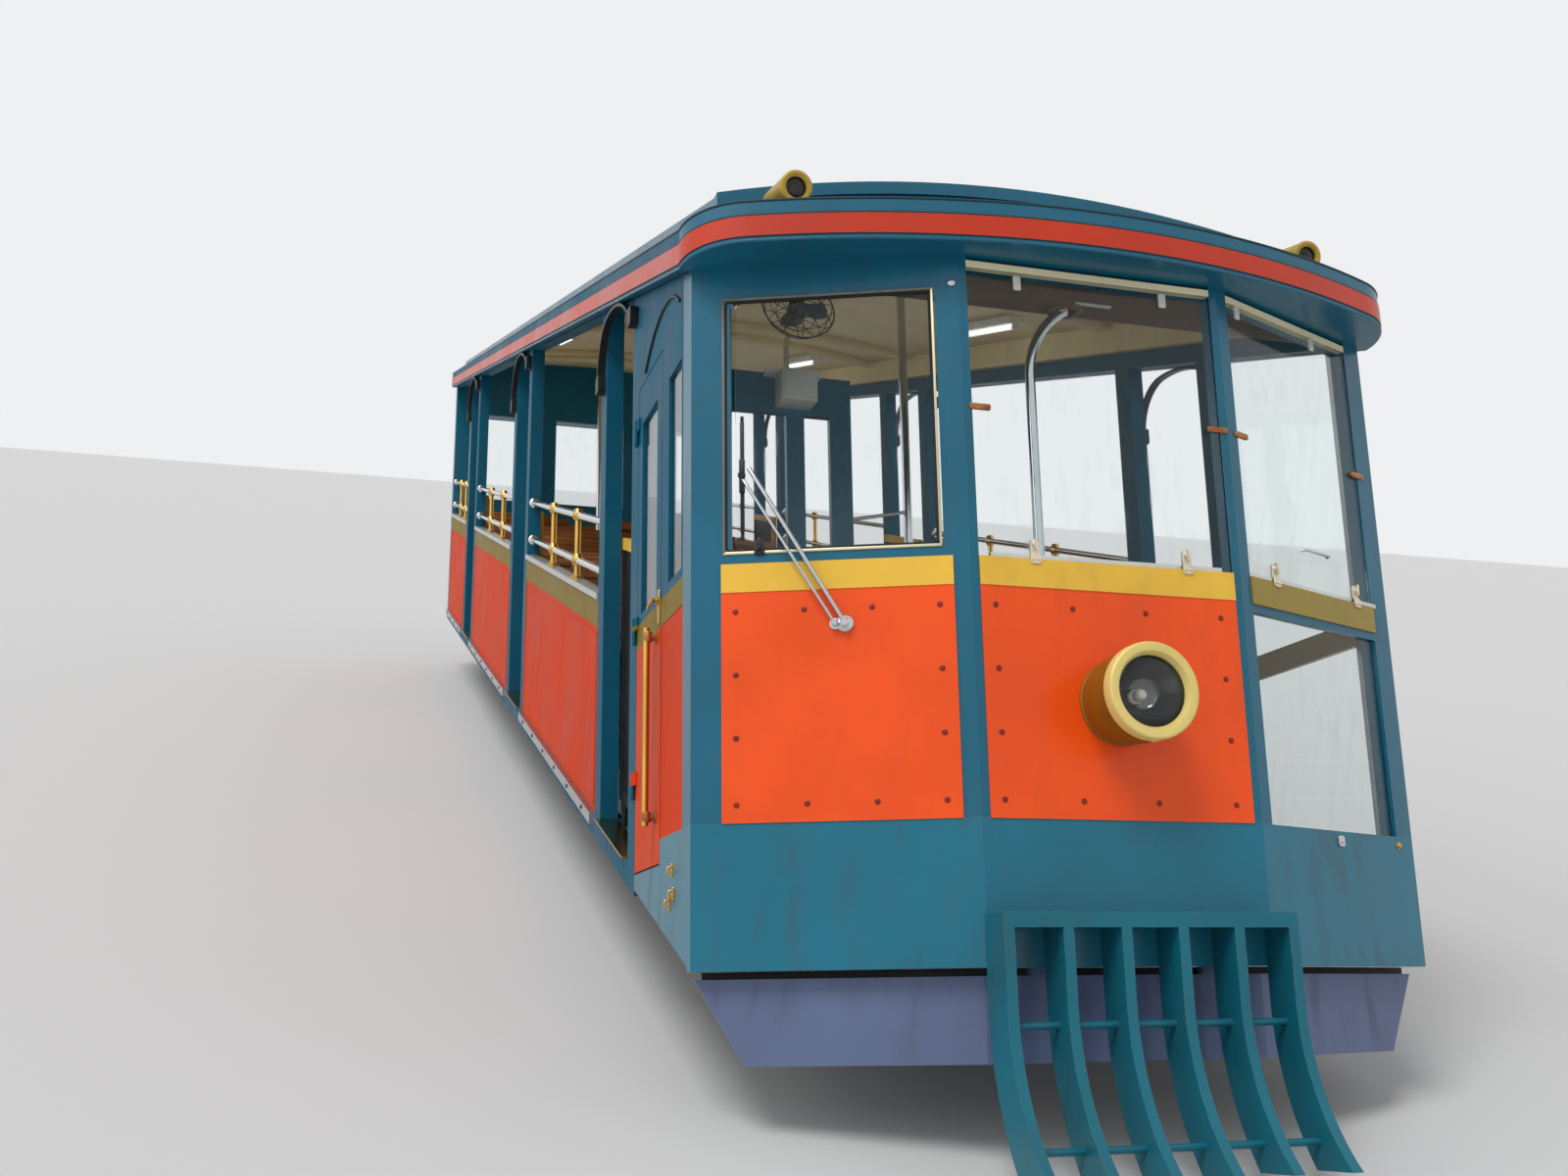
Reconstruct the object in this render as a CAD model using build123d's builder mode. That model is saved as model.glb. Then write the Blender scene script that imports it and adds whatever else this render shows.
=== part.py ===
from build123d import *
from math import atan2, cos, hypot, radians, sin, tan
import os

# Open observation car of an inclined railway, in millimetres.
# +Y runs uphill along the track, +X is right seen from the front, and z = 0 is the foot of the
# wheel flanges, which hang below the rail top.
# The posts, front and rear walls lean uphill, so that they stand upright on the slope.

os.makedirs("parts", exist_ok=True)

# Overall sizes
LEAN = 19.1  # degrees between the posts and the square to the track
BODY_WIDTH = 2500
BODY_LENGTH = 10230  # along the track, corner post to rear wall
SKIRT_FOOT = 430  # corner of the front skirt above the rail top

# Bowed front, in plan
FOLD_X = 463
BOW = 329
CORNER_POST = 94  # width on the facet
CORNER_RETURN = 110  # width on the side
MULLION = 80
POST_DEPTH = 60
SKIRT_WALL = 40

# Heights up the leaning front
PANEL_FOOT = 422
BAND_FOOT = 1121
BAND_TOP = 1211
GLASS_FOOT = 1242
GLASS_TOP = 2093
HEADER_FOOT = 2110
FASCIA_FOOT = 2200
FASCIA_TOP = 2345
STRIPE_FOOT = 2220
STRIPE_TOP = 2288

# Front panels and glazing
PANEL_WALL = 26
PANEL_PROUD = 4
BAND_PROUD = 7
FRAME_WALL = 30
GLASS_WALL = 8
GLASS_INSET = 6
SHEET_INSET = 4
PANE_INSET = 12
GLASS_SET = 10
TRIM_PROUD = 5
TRIM_WALL = 22
TRIM_WIDTH = 14
WINDOW_SIDE = 31  # frame beside the glass
WINDOW_MULLION_SIDE = 26
WINDOW_CORNER = 38
SHEET_TOP = 2165
SHEET_RAIL = 22
BLUE_RAIL = 27

# Headlamp, from the front panel outwards
LAMP_Z = 775
LAMP_BACK = 128
LAMP_BODY = 138
LAMP_SWELL = (140, 97)  # radius and reach of the barrel's widest ring
LAMP_RADIUS = 145
LAMP_LENS = 107
LAMP_REACH = 222
LAMP_RING = 46
LAMP_ROUND = 10
LAMP_BEVEL = 8
LAMP_SOCKET = 40
LENS_CROWN = 14

# Visor and roof
EAVE_REACH = 40  # of the visor and eaves beyond the sides
VISOR_NOSE = 465
VISOR_CORNER = 260
VISOR_WALL = 30
SOFFIT_WALL = 12
DECK_SINK = 30  # top deck of the visor below the rim's edge
DECK_WALL = 12
STRIPE_PROUD = 4
ROOF_INSET = 75
ROOF_EDGE = 2470
ROOF_RISE = 165
ROOF_WALL = 28
COVE_WALL = 18
GABLE_WALL = 20
ROOF_RAIL_HEIGHT = 45
ROOF_RAIL_WALL = 22
CEILING_INSET = 110
CEILING_EDGE = 2415
CEILING_RISE = 110
CEILING_WALL = 14
CANT_WIDTH = 70
CANT_HEIGHT = 95
ROOF_LAMPS = (-975, 880)  # places across
ROOF_LAMP_Y = -270  # front ring, before the corner posts' front
ROOF_LAMP_Z = 2397
ROOF_LAMP_TILT = 15
ROOF_LAMP_R = 52
ROOF_LAMP_TAIL = 44
ROOF_LAMP_BORE = 34
ROOF_LAMP_LENGTH = 300
ROOF_LAMP_STEM = 16

# Skirt, valance and cowcatcher
VALANCE_TOP = -22
VALANCE_FOOT = -265
VALANCE_WALL = 14
VALANCE_INSET = 60
VALANCE_END = 26  # short of the side at the top
VALANCE_TAPER = 135
VALANCE_HANGER = 70
VALANCE_HANGER_X = 278
VALANCE_LAP = 20  # of the hangers under the skirt
SLAT_COUNT = 6
SLAT_PITCH = 181
SLAT_THICK = 32
SLAT_DEPTH = 130
SLAT_STRAIGHT = 250
SLAT_RADIUS = 620
SLAT_SWEEP = 47  # degrees turned forward at the toe
SLAT_CUT = 9  # degrees by which the back edge stops short
SLAT_TOP = 150
BEAM_HEIGHT = 44
ROD_RADIUS = 11
ROD_ANGLES = (5, 34)

# Side, along the track from the corner post's foot
POST_WIDTH = 130
FIRST_POST = 890
DOOR_CLEAR = 600
MODULE = 3360
MODULES = 3
POST_INSET = 70
SOLE_TOP = 70
SOLE_DEPTH = 90
SOLE_WIDTH = 100
SIDE_BAND_FOOT = 780
SIDE_BAND_TOP = 890
SILL_TOP = 915
SILL_PROUD = 8
SIDE_WALL = 28
PANEL_SET = 2  # red panels set back from the bands
RAIL_LOWER = 995
RAIL_UPPER = 1200
RAIL_RADIUS = 17
RAIL_POST_RADIUS = 14
RAIL_POSTS = 2
RAIL_INSET = 35
STRIP_HEIGHT = 42
STRIP_PROUD = 22
TREAD_WALL = 6
REAR_POST = 130

# Sliding gates
GATE_FOOT = 150
GATE_TOP = 1150
GATE_WALL = 30
GATE_GAP = 5
GATE_SIDE_GAP = 6
GATE_RIM = 46
GATE_RECESS = 9
SHOE_LENGTH = 60
SHOE_GAP = 0.3

# Floor, benches and poles
FLOOR_WALL = 20
FLOOR_GAP = 5
SEAM = 1
BAY_STEPS = 3
REAR_STEPS = 2
SEAT_HEIGHT = 430
SEAT_DEPTH = 430
SEAT_WALL = 60
BACK_HEIGHT = 460
BACK_WALL = 45
BACK_SETBACK = 25
LEG_WALL = 30
AISLE_HALF = 300
BENCH_END_GAP = 14
POLE_RADIUS = 17
POLE_BEND = 220
POLE_SWING = 42  # degrees that a pole's top leans outward
POLE_FOOT = 60  # behind the landing's nose
POLE_BASE = 42
BASE_WALL = 10
FIRST_POLE_X = -180
FRONT_POLE = (-100, -56)  # place in plan, in front of the corner posts' returns
FRONT_POLE_BEND = 288
FRONT_POLE_SWING = 60
ROSE_RADIUS = 54  # round foot of the front pole under the soffit
ROSE_WALL = 18
ROSE_SINK = 15  # end of the front pole's axis under the soffit
STRAP_WIDTH = 32
STRAP_WALL = 12
STRAP_CLAMP = (62, 74)
# heights of the strap's points above the foot of the doorway's front post
STRAP_FRONT = 2140
STRAP_SHOULDER = 2300
STRAP_CROWN = 2345
STRAP_BACK = 2130
STRAP_RISE_Y = 0.45  # places of shoulder and crown, as shares of the doorway's pitch
STRAP_CROWN_Y = 0.8

# Cab, on the left at the front
DOOR_FRONT = 430  # leaning front edge of the cab door behind the corner
DOOR_PANEL_FOOT = 340
DOOR_GAP = 6
SIDE_WINDOW_TOP = 1955
FRONT_WINDOW = (135, 325)
REAR_WINDOW = (510, 770)
REAR_PANE_X = 800
REAR_PANE_SIZE = (640, 820)
REAR_PANE_Z = 1500
CAB_RAIL_RADIUS = 11
CAB_RAIL_BRACKET = 9
CAB_RAIL_FOOT = 470
CAB_RAIL_TOP = 1130
CAB_RAIL_STANDOFF = 33
CAB_RAIL_SET = 75  # behind the door's front edge
CAB_RAIL_END = 30  # brackets in from its ends
CAB_FLOOR = 400
DESK_DEPTH = 260
DESK_HEIGHT = 780
DESK_GAP = 20  # behind the front wall
DESK_SIDE = 130  # in from the side
PARTITION_WALL = 28
PARTITION_GAP = 6  # inside the door
PARTITION_END = -434
PARTITION_TOP = 2222
PARTITION_SILL = 1250
PARTITION_HEAD = 2062
PARTITION_LIGHTS = ((0.12, 0.67), (0.76, 0.89))  # shares of its width
HINGE_OUT = 10  # hinge axis of the cab door outside the side
HINGE_RADIUS = 8
HINGE_LENGTH = 45
HINGE_PLAY = 0.3
HINGE_HEIGHTS = (600, 1150, 1900)
HINGE_LEAF = 34

# Underframe and running gear
FRAME_START = 330
FRAME_SHORT = 40  # sills end short of the rear wall
FRAME_TOP = 500
FRAME_DEPTH = 170
FRAME_INNER = 700
FRAME_WIDTH = 80
WEB_WALL = 10
FLANGE_WALL = 14
CROSS_WIDTH = 90
MIDDLE_BEARERS = (1240, 3300, 4615, 6200, 7400, 9000)
CROSS_DEPTH = 90
OUTRIGGER_DEPTH = 140
WHEELBASE = 5600
FIRST_AXLE = 2315
GAUGE = 1067
TREAD_RADIUS = 230
TREAD_WIDTH = 60
FLANGE = 25
FLANGE_WIDTH = 22
ROLLER_WIDTH = 170
AXLE_RADIUS = 62
JOURNAL_RADIUS = 35
JOURNAL_GAP = 0.3
HUB_RADIUS = 98
HUB_WIDTH = 120
DISC_WALL = 24
RIM_DEPTH = 48
GUARD_WALL = 16
GUARD_TOP = 430  # length at the sill
GUARD_FOOT = 230
GUARD_DROP = 12  # below the axle box
BOX_SIZE = 150
BOX_LIP = 14
BOX_WIDTH = 90
BOX_COVER = 52
SPRING_LEAVES = 5
SPRING_LEAF = 11
SPRING_LENGTH = 800
SPRING_STEP = 0.17  # each leaf shorter than the one above, of the length
SPRING_RADIUS = 1500
SPRING_WIDTH = 70
BUCKLE_WIDTH = 86
HANGER_WIDTH = 36
HANGER_DROP = 57  # below the frame's top
EYE_RADIUS = 20
SPRING_LAP = 0.4  # leaves pressed together
AXLE_SHORT = 20  # axle's shoulder inside the sills
TOW_RADIUS = 75
TOW_HALF = 52  # half height of its bar
TOW_BORE = 25
TOW_WALL = 40
TOW_REACH = 260

HALF = BODY_WIDTH / 2
VISOR_HALF = HALF + EAVE_REACH
ROOF_HALF = HALF - ROOF_INSET
CEILING_HALF = HALF - CEILING_INSET
SINE = sin(radians(LEAN))
COSINE = cos(radians(LEAN))
SLOPE = tan(radians(LEAN))
FACET = hypot(HALF - FOLD_X, BOW)
FACET_TURN = atan2(BOW, HALF - FOLD_X)
MITRE = tan(FACET_TURN / 2)


def slat_point(depth, angle):
    """Point of a slat's curve, at a depth behind its front edge, in the leaning body's axes."""
    radius = SLAT_RADIUS + depth
    y = -BOW - SLAT_DEPTH - SLAT_RADIUS + radius * cos(radians(angle))
    return (y, SLAT_TOP - SLAT_STRAIGHT - radius * sin(radians(angle)))


# The origin lies midway between the slats' toes and the crown of the roof's rear end
SLAT_TOE = slat_point(0, SLAT_SWEEP)
NOSE_REACH = -SLAT_TOE[0] * COSINE - SLAT_TOE[1] * SINE
TAIL_REACH = BODY_LENGTH + (ROOF_EDGE + ROOF_RISE) * SINE
FRONT_Y = (NOSE_REACH - TAIL_REACH) / 2
RAIL_TOP = FLANGE
SKIRT_Z = RAIL_TOP + SKIRT_FOOT
FRAME_Z = RAIL_TOP + FRAME_TOP
AXLE_Z = RAIL_TOP + TREAD_RADIUS

BODY = Plane(origin=(0, FRONT_Y, SKIRT_Z), x_dir=(1, 0, 0), z_dir=(0, SINE, COSINE))
UPHILL = Vector(0, 1, 0)
SIDES = (("left", -1), ("right", 1))


def direction(x, y, z):
    """Turn a direction of the leaning body into one of the car."""
    return BODY.from_local_coords(Vector(x, y, z)) - BODY.origin


def face_plane(depth=0.0):
    """Plane square to the leaning front: X across, Y up the posts, out of the front."""
    origin = BODY.from_local_coords(Vector(0, depth, 0))
    return Plane(origin=origin, x_dir=(1, 0, 0), z_dir=direction(0, -1, 0))


def section_plane(along):
    """Plane parallel to the leaning front, its origin on the track axis behind the corner."""
    return Plane(origin=(0, FRONT_Y + along, SKIRT_Z), x_dir=(1, 0, 0), z_dir=direction(0, -1, 0))


def side_plane(x):
    """Plane along the side in track axes, from the foot of the corner post."""
    return Plane(origin=(x, FRONT_Y, SKIRT_Z), x_dir=(0, 1, 0), z_dir=(1, 0, 0))


def lean_side_plane(x):
    """Plane along the side in the leaning body's own axes."""
    origin = BODY.from_local_coords(Vector(x, 0, 0))
    return Plane(origin=origin, x_dir=direction(0, 1, 0), z_dir=(1, 0, 0))


def facet_plane(start, end, inset=0.0):
    """Plane of one front facet: x along it, y up the posts, z outwards."""
    along = (Vector(*end) - Vector(*start)).normalized()
    outward = Vector(along.Y, -along.X, 0)
    origin = Vector(*start) - outward * inset
    return Plane(
        origin=BODY.from_local_coords(origin),
        x_dir=direction(along.X, along.Y, 0),
        z_dir=direction(outward.X, outward.Y, 0),
    )


def bow_line(inset, trim=0.0):
    """Plan points of the bowed front, set back by inset and ended short of the sides by trim."""
    end_y = (inset - sin(FACET_TURN) * trim) / cos(FACET_TURN)
    fold_x = FOLD_X - inset * MITRE
    return [(-HALF + trim, end_y), (-fold_x, inset - BOW), (fold_x, inset - BOW), (HALF - trim, end_y)]


def bow_strip(outer, inner, trim=0.0):
    """Closed plan outline of a wall that follows the three facets."""
    return bow_line(outer, trim) + bow_line(inner, trim)[::-1]


def leaning(start, end, foot, top):
    """Outline in a side plane of a piece with leaning ends and edges along the track."""
    return [
        (start + foot * SLOPE, foot),
        (end + foot * SLOPE, foot),
        (end + top * SLOPE, top),
        (start + top * SLOPE, top),
    ]


def rect(x0, x1, y0, y1):
    """Outline of an upright rectangle by its edges."""
    return [(x0, y0), (x1, y0), (x1, y1), (x0, y1)]


def to_body(along, height):
    """Change a point of a side plane from track axes to the leaning body's axes."""
    return (along * COSINE - height * SINE, along * SINE + height * COSINE)


FACETS = {
    "left": ((-HALF, 0), (-FOLD_X, -BOW)),
    "centre": ((-FOLD_X, -BOW), (FOLD_X, -BOW)),
    "right": ((FOLD_X, -BOW), (HALF, 0)),
}
MULLION_SIDE = MULLION * 0.65
MULLION_CENTRE = MULLION - MULLION_SIDE
# facet, first and last edge of the field between its posts
FIELDS = {
    "left": (CORNER_POST, FACET - MULLION_SIDE),
    "centre": (MULLION_CENTRE, 2 * FOLD_X - MULLION_CENTRE),
    "right": (MULLION_SIDE, FACET - CORNER_POST),
}

DOOR_POSTS = [FIRST_POST + MODULE * index for index in range(MODULES)]
DOOR_PITCH = POST_WIDTH + DOOR_CLEAR
REAR_INNER = BODY_LENGTH - REAR_POST
POSTS = [start + offset for start in DOOR_POSTS for offset in (0, DOOR_PITCH)]
BAY_STARTS = [start + DOOR_PITCH + POST_WIDTH for start in DOOR_POSTS]
BAY_ENDS = DOOR_POSTS[1:] + [REAR_INNER]
BAYS = list(zip(BAY_STARTS, BAY_ENDS))


def save(builder, name):
    """Label a finished piece and write it."""
    builder.part.label = name
    export_step(builder.part, f"parts/{name}.step")


# Underframe: two channel sills, cross bearers with outriggers, and the side soles they carry

FRAME_END = BODY_LENGTH - FRAME_SHORT
AXLES = (FIRST_AXLE, FIRST_AXLE + WHEELBASE)
BEARERS = (FRAME_START, *MIDDLE_BEARERS, FRAME_END - CROSS_WIDTH)
SOLE_INNER = HALF - SOLE_WIDTH
FRAME_OUTER = FRAME_INNER + FRAME_WIDTH
FRAME_FOOT = FRAME_Z - FRAME_DEPTH

with BuildPart() as underframe:
    for side in (-1, 1):
        with BuildSketch(Plane.XZ.offset(-FRONT_Y - FRAME_START)):
            Polygon(
                (side * FRAME_INNER, FRAME_Z),
                (side * FRAME_OUTER, FRAME_Z),
                (side * FRAME_OUTER, FRAME_FOOT),
                (side * FRAME_INNER, FRAME_FOOT),
                (side * FRAME_INNER, FRAME_FOOT + FLANGE_WALL),
                (side * (FRAME_OUTER - WEB_WALL), FRAME_FOOT + FLANGE_WALL),
                (side * (FRAME_OUTER - WEB_WALL), FRAME_Z - FLANGE_WALL),
                (side * FRAME_INNER, FRAME_Z - FLANGE_WALL),
                align=None,
            )
        extrude(amount=FRAME_START - FRAME_END)
save(underframe, "underframe")

with BuildPart() as cross_bearers:
    for bearer in BEARERS:
        web_y = FRONT_Y + bearer + CROSS_WIDTH / 2
        # channel between the sills, open downwards
        with BuildSketch(Plane.YZ.offset(-FRAME_INNER)):
            with Locations((web_y, FRAME_Z - CROSS_DEPTH / 2)):
                Rectangle(CROSS_WIDTH, CROSS_DEPTH)
            with Locations((web_y, FRAME_Z - CROSS_DEPTH / 2 - FLANGE_WALL)):
                Rectangle(CROSS_WIDTH - 2 * WEB_WALL, CROSS_DEPTH, mode=Mode.SUBTRACT)
        extrude(amount=2 * FRAME_INNER)
        # tapered outriggers from the sills to the soles
        for side in (-1, 1):
            with BuildSketch(Plane.XZ.offset(-web_y - WEB_WALL / 2)):
                Polygon(
                    (side * FRAME_OUTER, FRAME_Z),
                    (side * SOLE_INNER, FRAME_Z),
                    (side * SOLE_INNER, FRAME_Z - CROSS_DEPTH),
                    (side * FRAME_OUTER, FRAME_Z - OUTRIGGER_DEPTH),
                    align=None,
                )
            extrude(amount=WEB_WALL)
            with BuildSketch(Plane.XY.offset(FRAME_Z - WEB_WALL)):
                with Locations((side * (FRAME_OUTER + SOLE_INNER) / 2, web_y)):
                    Rectangle(SOLE_INNER - FRAME_OUTER, CROSS_WIDTH)
            extrude(amount=WEB_WALL)
save(cross_bearers, "cross_bearers")

with BuildPart() as sole_bars:
    for name, side in SIDES:
        with BuildSketch(side_plane(side * HALF)):
            Polygon(*leaning(FIRST_POST, BODY_LENGTH, SOLE_TOP - SOLE_DEPTH, SOLE_TOP), align=None)
        extrude(amount=-side * SOLE_WIDTH)
save(sole_bars, "sole_bars")

# Stepped floor

FLOOR_HALF = HALF - POST_INSET - GATE_GAP - GATE_WALL - FLOOR_GAP
LANDING = DOOR_PITCH + POST_WIDTH
FLOOR_SEAT = FRAME_TOP - SKIRT_FOOT
NOSE_LINE = FLOOR_SEAT + FLOOR_WALL * (SINE + COSINE) + LANDING * COSINE * SINE
CAB_NOSE = (CAB_FLOOR - NOSE_LINE * COSINE) / SINE
# start of each tread at its nose, along the nose line, as an upright foot
NOSES = [CAB_NOSE]
for landing, (bay_start, bay_end) in zip(DOOR_POSTS, BAYS):
    steps = REAR_STEPS if bay_end == REAR_INNER else BAY_STEPS
    run = (bay_end - bay_start) / steps
    NOSES.append(landing + NOSE_LINE * SLOPE)
    NOSES.extend(bay_start + NOSE_LINE * SLOPE + run * index for index in range(steps))
FLOOR_TAIL = REAR_INNER + NOSE_LINE * SLOPE


def step_points(nose, next_nose):
    """Nose and back corner of one tread, in track axes."""
    depth = (next_nose - nose) * COSINE
    return (nose, NOSE_LINE), (nose + depth * COSINE, NOSE_LINE - depth * SINE)


TREADS = list(zip(NOSES, NOSES[1:] + [FLOOR_TAIL]))


def tread_profile(nose, next_nose):
    """Closed section of one tread board, in track axes."""
    top, back = step_points(nose, next_nose)
    under = (-FLOOR_WALL * SINE, -FLOOR_WALL * COSINE)
    return [top, back, (back[0] + under[0], back[1] + under[1]), (top[0] + under[0], top[1] + under[1])]


def riser_profile(nose, next_nose):
    """Closed section of the riser behind a tread, up to the next nose."""
    back = step_points(nose, next_nose)[1]
    rise = hypot(next_nose - back[0], NOSE_LINE - back[1]) - FLOOR_WALL
    foot = (back[0] - FLOOR_WALL * SINE, back[1] - FLOOR_WALL * COSINE)
    head = (back[0] + rise * SINE, back[1] + rise * COSINE)
    behind = (FLOOR_WALL * COSINE, -FLOOR_WALL * SINE)
    back_head = (head[0] + behind[0], head[1] + behind[1])
    back_foot = (foot[0] + behind[0], foot[1] + behind[1])
    return [foot, head, back_head, back_foot]


with BuildPart() as floor:
    for tread in TREADS:
        with BuildSketch(side_plane(-FLOOR_HALF)):
            Polygon(*tread_profile(*tread), align=None)
        extrude(amount=2 * FLOOR_HALF)
    # bowed cab floor in front of the first nose
    with BuildSketch(BODY.offset(CAB_FLOOR - FLOOR_WALL)):
        nose_y = to_body(CAB_NOSE, NOSE_LINE)[0]
        front = bow_line(SKIRT_WALL + SEAM, HALF - FLOOR_HALF)
        Polygon(*front, (FLOOR_HALF, nose_y), (-FLOOR_HALF, nose_y), align=None)
    extrude(amount=FLOOR_WALL)
save(floor, "floor")

with BuildPart() as risers:
    for tread in TREADS[:-1]:
        with BuildSketch(side_plane(-FLOOR_HALF)):
            Polygon(*riser_profile(*tread), align=None)
        extrude(amount=2 * FLOOR_HALF)
save(risers, "risers")

# Bowed front: skirt, posts, header

with BuildPart() as front_skirt:
    with BuildSketch(BODY):
        Polygon(*bow_strip(0, SKIRT_WALL), align=None)
    extrude(amount=PANEL_FOOT)
save(front_skirt, "front_skirt")

CAB_SIDE_END = FIRST_POST * COSINE
RETURN_START = SKIRT_WALL / cos(FACET_TURN)

with BuildPart() as side_skirts:
    for name, side in SIDES:
        top = [(CAB_SIDE_END, PANEL_FOOT)]
        if side < 0:
            top = [
                (CAB_SIDE_END, DOOR_PANEL_FOOT),
                (DOOR_FRONT, DOOR_PANEL_FOOT),
                (DOOR_FRONT, PANEL_FOOT),
            ]
        with BuildSketch(lean_side_plane(side * HALF)):
            Polygon(
                (RETURN_START, RETURN_START * SLOPE),
                to_body(FIRST_POST, 0),
                *top,
                (RETURN_START, PANEL_FOOT),
                align=None,
            )
        extrude(amount=-side * SKIRT_WALL)
save(side_skirts, "side_skirts")

with BuildPart() as front_posts:
    for side in (-1, 1):
        corner = Vector(side * HALF, 0)
        along = Vector(-side * cos(FACET_TURN), -sin(FACET_TURN))
        inward = Vector(-side * sin(FACET_TURN), cos(FACET_TURN))
        edge = corner + along * CORNER_POST
        inner = edge + inward * POST_DEPTH
        with BuildSketch(BODY.offset(PANEL_FOOT)):
            Polygon(
                (corner.X, corner.Y),
                (edge.X, edge.Y),
                (inner.X, inner.Y),
                (side * (HALF - POST_DEPTH), CORNER_RETURN),
                (side * HALF, CORNER_RETURN),
                align=None,
            )
        extrude(amount=FASCIA_TOP - PANEL_FOOT)
        fold = Vector(side * FOLD_X, -BOW)
        before = fold - along * MULLION_SIDE
        after = fold - Vector(side * MULLION_CENTRE, 0)
        deep = before + inward * POST_DEPTH
        with BuildSketch(BODY.offset(PANEL_FOOT)):
            Polygon(
                (before.X, before.Y),
                (fold.X, fold.Y),
                (after.X, after.Y),
                (after.X, after.Y + POST_DEPTH),
                (side * (FOLD_X - POST_DEPTH * MITRE), POST_DEPTH - BOW),
                (deep.X, deep.Y),
                align=None,
            )
        extrude(amount=FASCIA_TOP - PANEL_FOOT)
    # the tops meet the visor in front and the cantrails behind
    with BuildSketch(lean_side_plane(-HALF)):
        Polygon(
            (-2 * BOW, FASCIA_FOOT),
            (0, FASCIA_FOOT),
            (2 * CORNER_RETURN, FASCIA_FOOT + 2 * CORNER_RETURN * SLOPE),
            (2 * CORNER_RETURN, 2 * FASCIA_TOP),
            (-2 * BOW, 2 * FASCIA_TOP),
            align=None,
        )
    extrude(amount=BODY_WIDTH, mode=Mode.SUBTRACT)
save(front_posts, "front_posts")

with BuildPart() as front_header:
    for name, (first, last) in FIELDS.items():
        foot = HEADER_FOOT if name == "left" else SHEET_TOP
        with BuildSketch(facet_plane(*FACETS[name], FRAME_WALL)):
            Polygon(*rect(first, last, foot, FASCIA_FOOT), align=None)
        extrude(amount=FRAME_WALL - POST_DEPTH)
    # rail between the right facet's band and its lower pane
    with BuildSketch(facet_plane(*FACETS["right"])):
        Polygon(*rect(*FIELDS["right"], BAND_FOOT - BLUE_RAIL, BAND_FOOT), align=None)
    extrude(amount=-PANEL_WALL)
save(front_header, "front_header")

# Red panels of the left and centre facets, and the yellow belt on all three

with BuildPart() as front_panels:
    for name in ("left", "centre"):
        first, last = FIELDS[name]
        with BuildSketch(facet_plane(*FACETS[name], -PANEL_PROUD)):
            Polygon(*rect(first, last, PANEL_FOOT, BAND_FOOT), align=None)
        extrude(amount=-PANEL_WALL)
save(front_panels, "front_panels")

with BuildPart() as belt_band:
    for name, (first, last) in FIELDS.items():
        with BuildSketch(facet_plane(*FACETS[name], -BAND_PROUD)):
            Polygon(*rect(first, last, BAND_FOOT, BAND_TOP), align=None)
        extrude(amount=-PANEL_WALL)
save(belt_band, "belt_band")

# Cab window: teal frame, bright trim and glass

LEFT_FIRST, LEFT_LAST = FIELDS["left"]
GLASS_X = (LEFT_FIRST + WINDOW_SIDE, LEFT_LAST - WINDOW_MULLION_SIDE)
GLASS_MID = ((GLASS_X[0] + GLASS_X[1]) / 2, (GLASS_FOOT + GLASS_TOP) / 2)
GLASS_SIZE = (GLASS_X[1] - GLASS_X[0], GLASS_TOP - GLASS_FOOT)

with BuildPart() as cab_window_frame:
    with BuildSketch(facet_plane(*FACETS["left"])):
        Polygon(*rect(LEFT_FIRST, LEFT_LAST, BAND_TOP, FASCIA_FOOT), align=None)
        with Locations(GLASS_MID):
            RectangleRounded(*GLASS_SIZE, WINDOW_CORNER, mode=Mode.SUBTRACT)
    extrude(amount=-FRAME_WALL)
save(cab_window_frame, "cab_window_frame")

with BuildPart() as cab_window_trim:
    with BuildSketch(facet_plane(*FACETS["left"], -TRIM_PROUD)):
        with Locations(GLASS_MID):
            RectangleRounded(*GLASS_SIZE, WINDOW_CORNER)
            RectangleRounded(
                GLASS_SIZE[0] - 2 * TRIM_WIDTH,
                GLASS_SIZE[1] - 2 * TRIM_WIDTH,
                WINDOW_CORNER - TRIM_WIDTH,
                mode=Mode.SUBTRACT,
            )
    extrude(amount=-TRIM_WALL)
save(cab_window_trim, "cab_window_trim")

with BuildPart() as front_windows:
    with BuildSketch(facet_plane(*FACETS["left"], GLASS_INSET)):
        with Locations(GLASS_MID):
            RectangleRounded(
                GLASS_SIZE[0] - 2 * TRIM_WIDTH,
                GLASS_SIZE[1] - 2 * TRIM_WIDTH,
                WINDOW_CORNER - TRIM_WIDTH,
            )
    extrude(amount=-GLASS_WALL)
    with BuildSketch(facet_plane(*FACETS["right"], PANE_INSET)):
        Polygon(*rect(*FIELDS["right"], PANEL_FOOT, BAND_FOOT - BLUE_RAIL), align=None)
    extrude(amount=-GLASS_WALL)
    # clear upper sheets of the centre and right facets
    for name in ("centre", "right"):
        first, last = FIELDS[name]
        with BuildSketch(facet_plane(*FACETS[name], SHEET_INSET)):
            Polygon(*rect(first, last, BAND_TOP, SHEET_TOP), align=None)
        extrude(amount=-GLASS_WALL)
save(front_windows, "front_windows")

# Bright top rail of the clear sheets

with BuildPart() as sheet_rails:
    for name in ("centre", "right"):
        first, last = FIELDS[name]
        with BuildSketch(facet_plane(*FACETS[name])):
            Polygon(*rect(first, last, SHEET_TOP, SHEET_TOP + SHEET_RAIL), align=None)
        extrude(amount=-FRAME_WALL)
save(sheet_rails, "sheet_rails")

# Headlamp in the middle of the centre panel

LAMP_FACE = face_plane(-BOW - PANEL_PROUD)
LAMP_AXIS = Axis(LAMP_FACE.from_local_coords(Vector(0, LAMP_Z, 0)), LAMP_FACE.z_dir)
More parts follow.
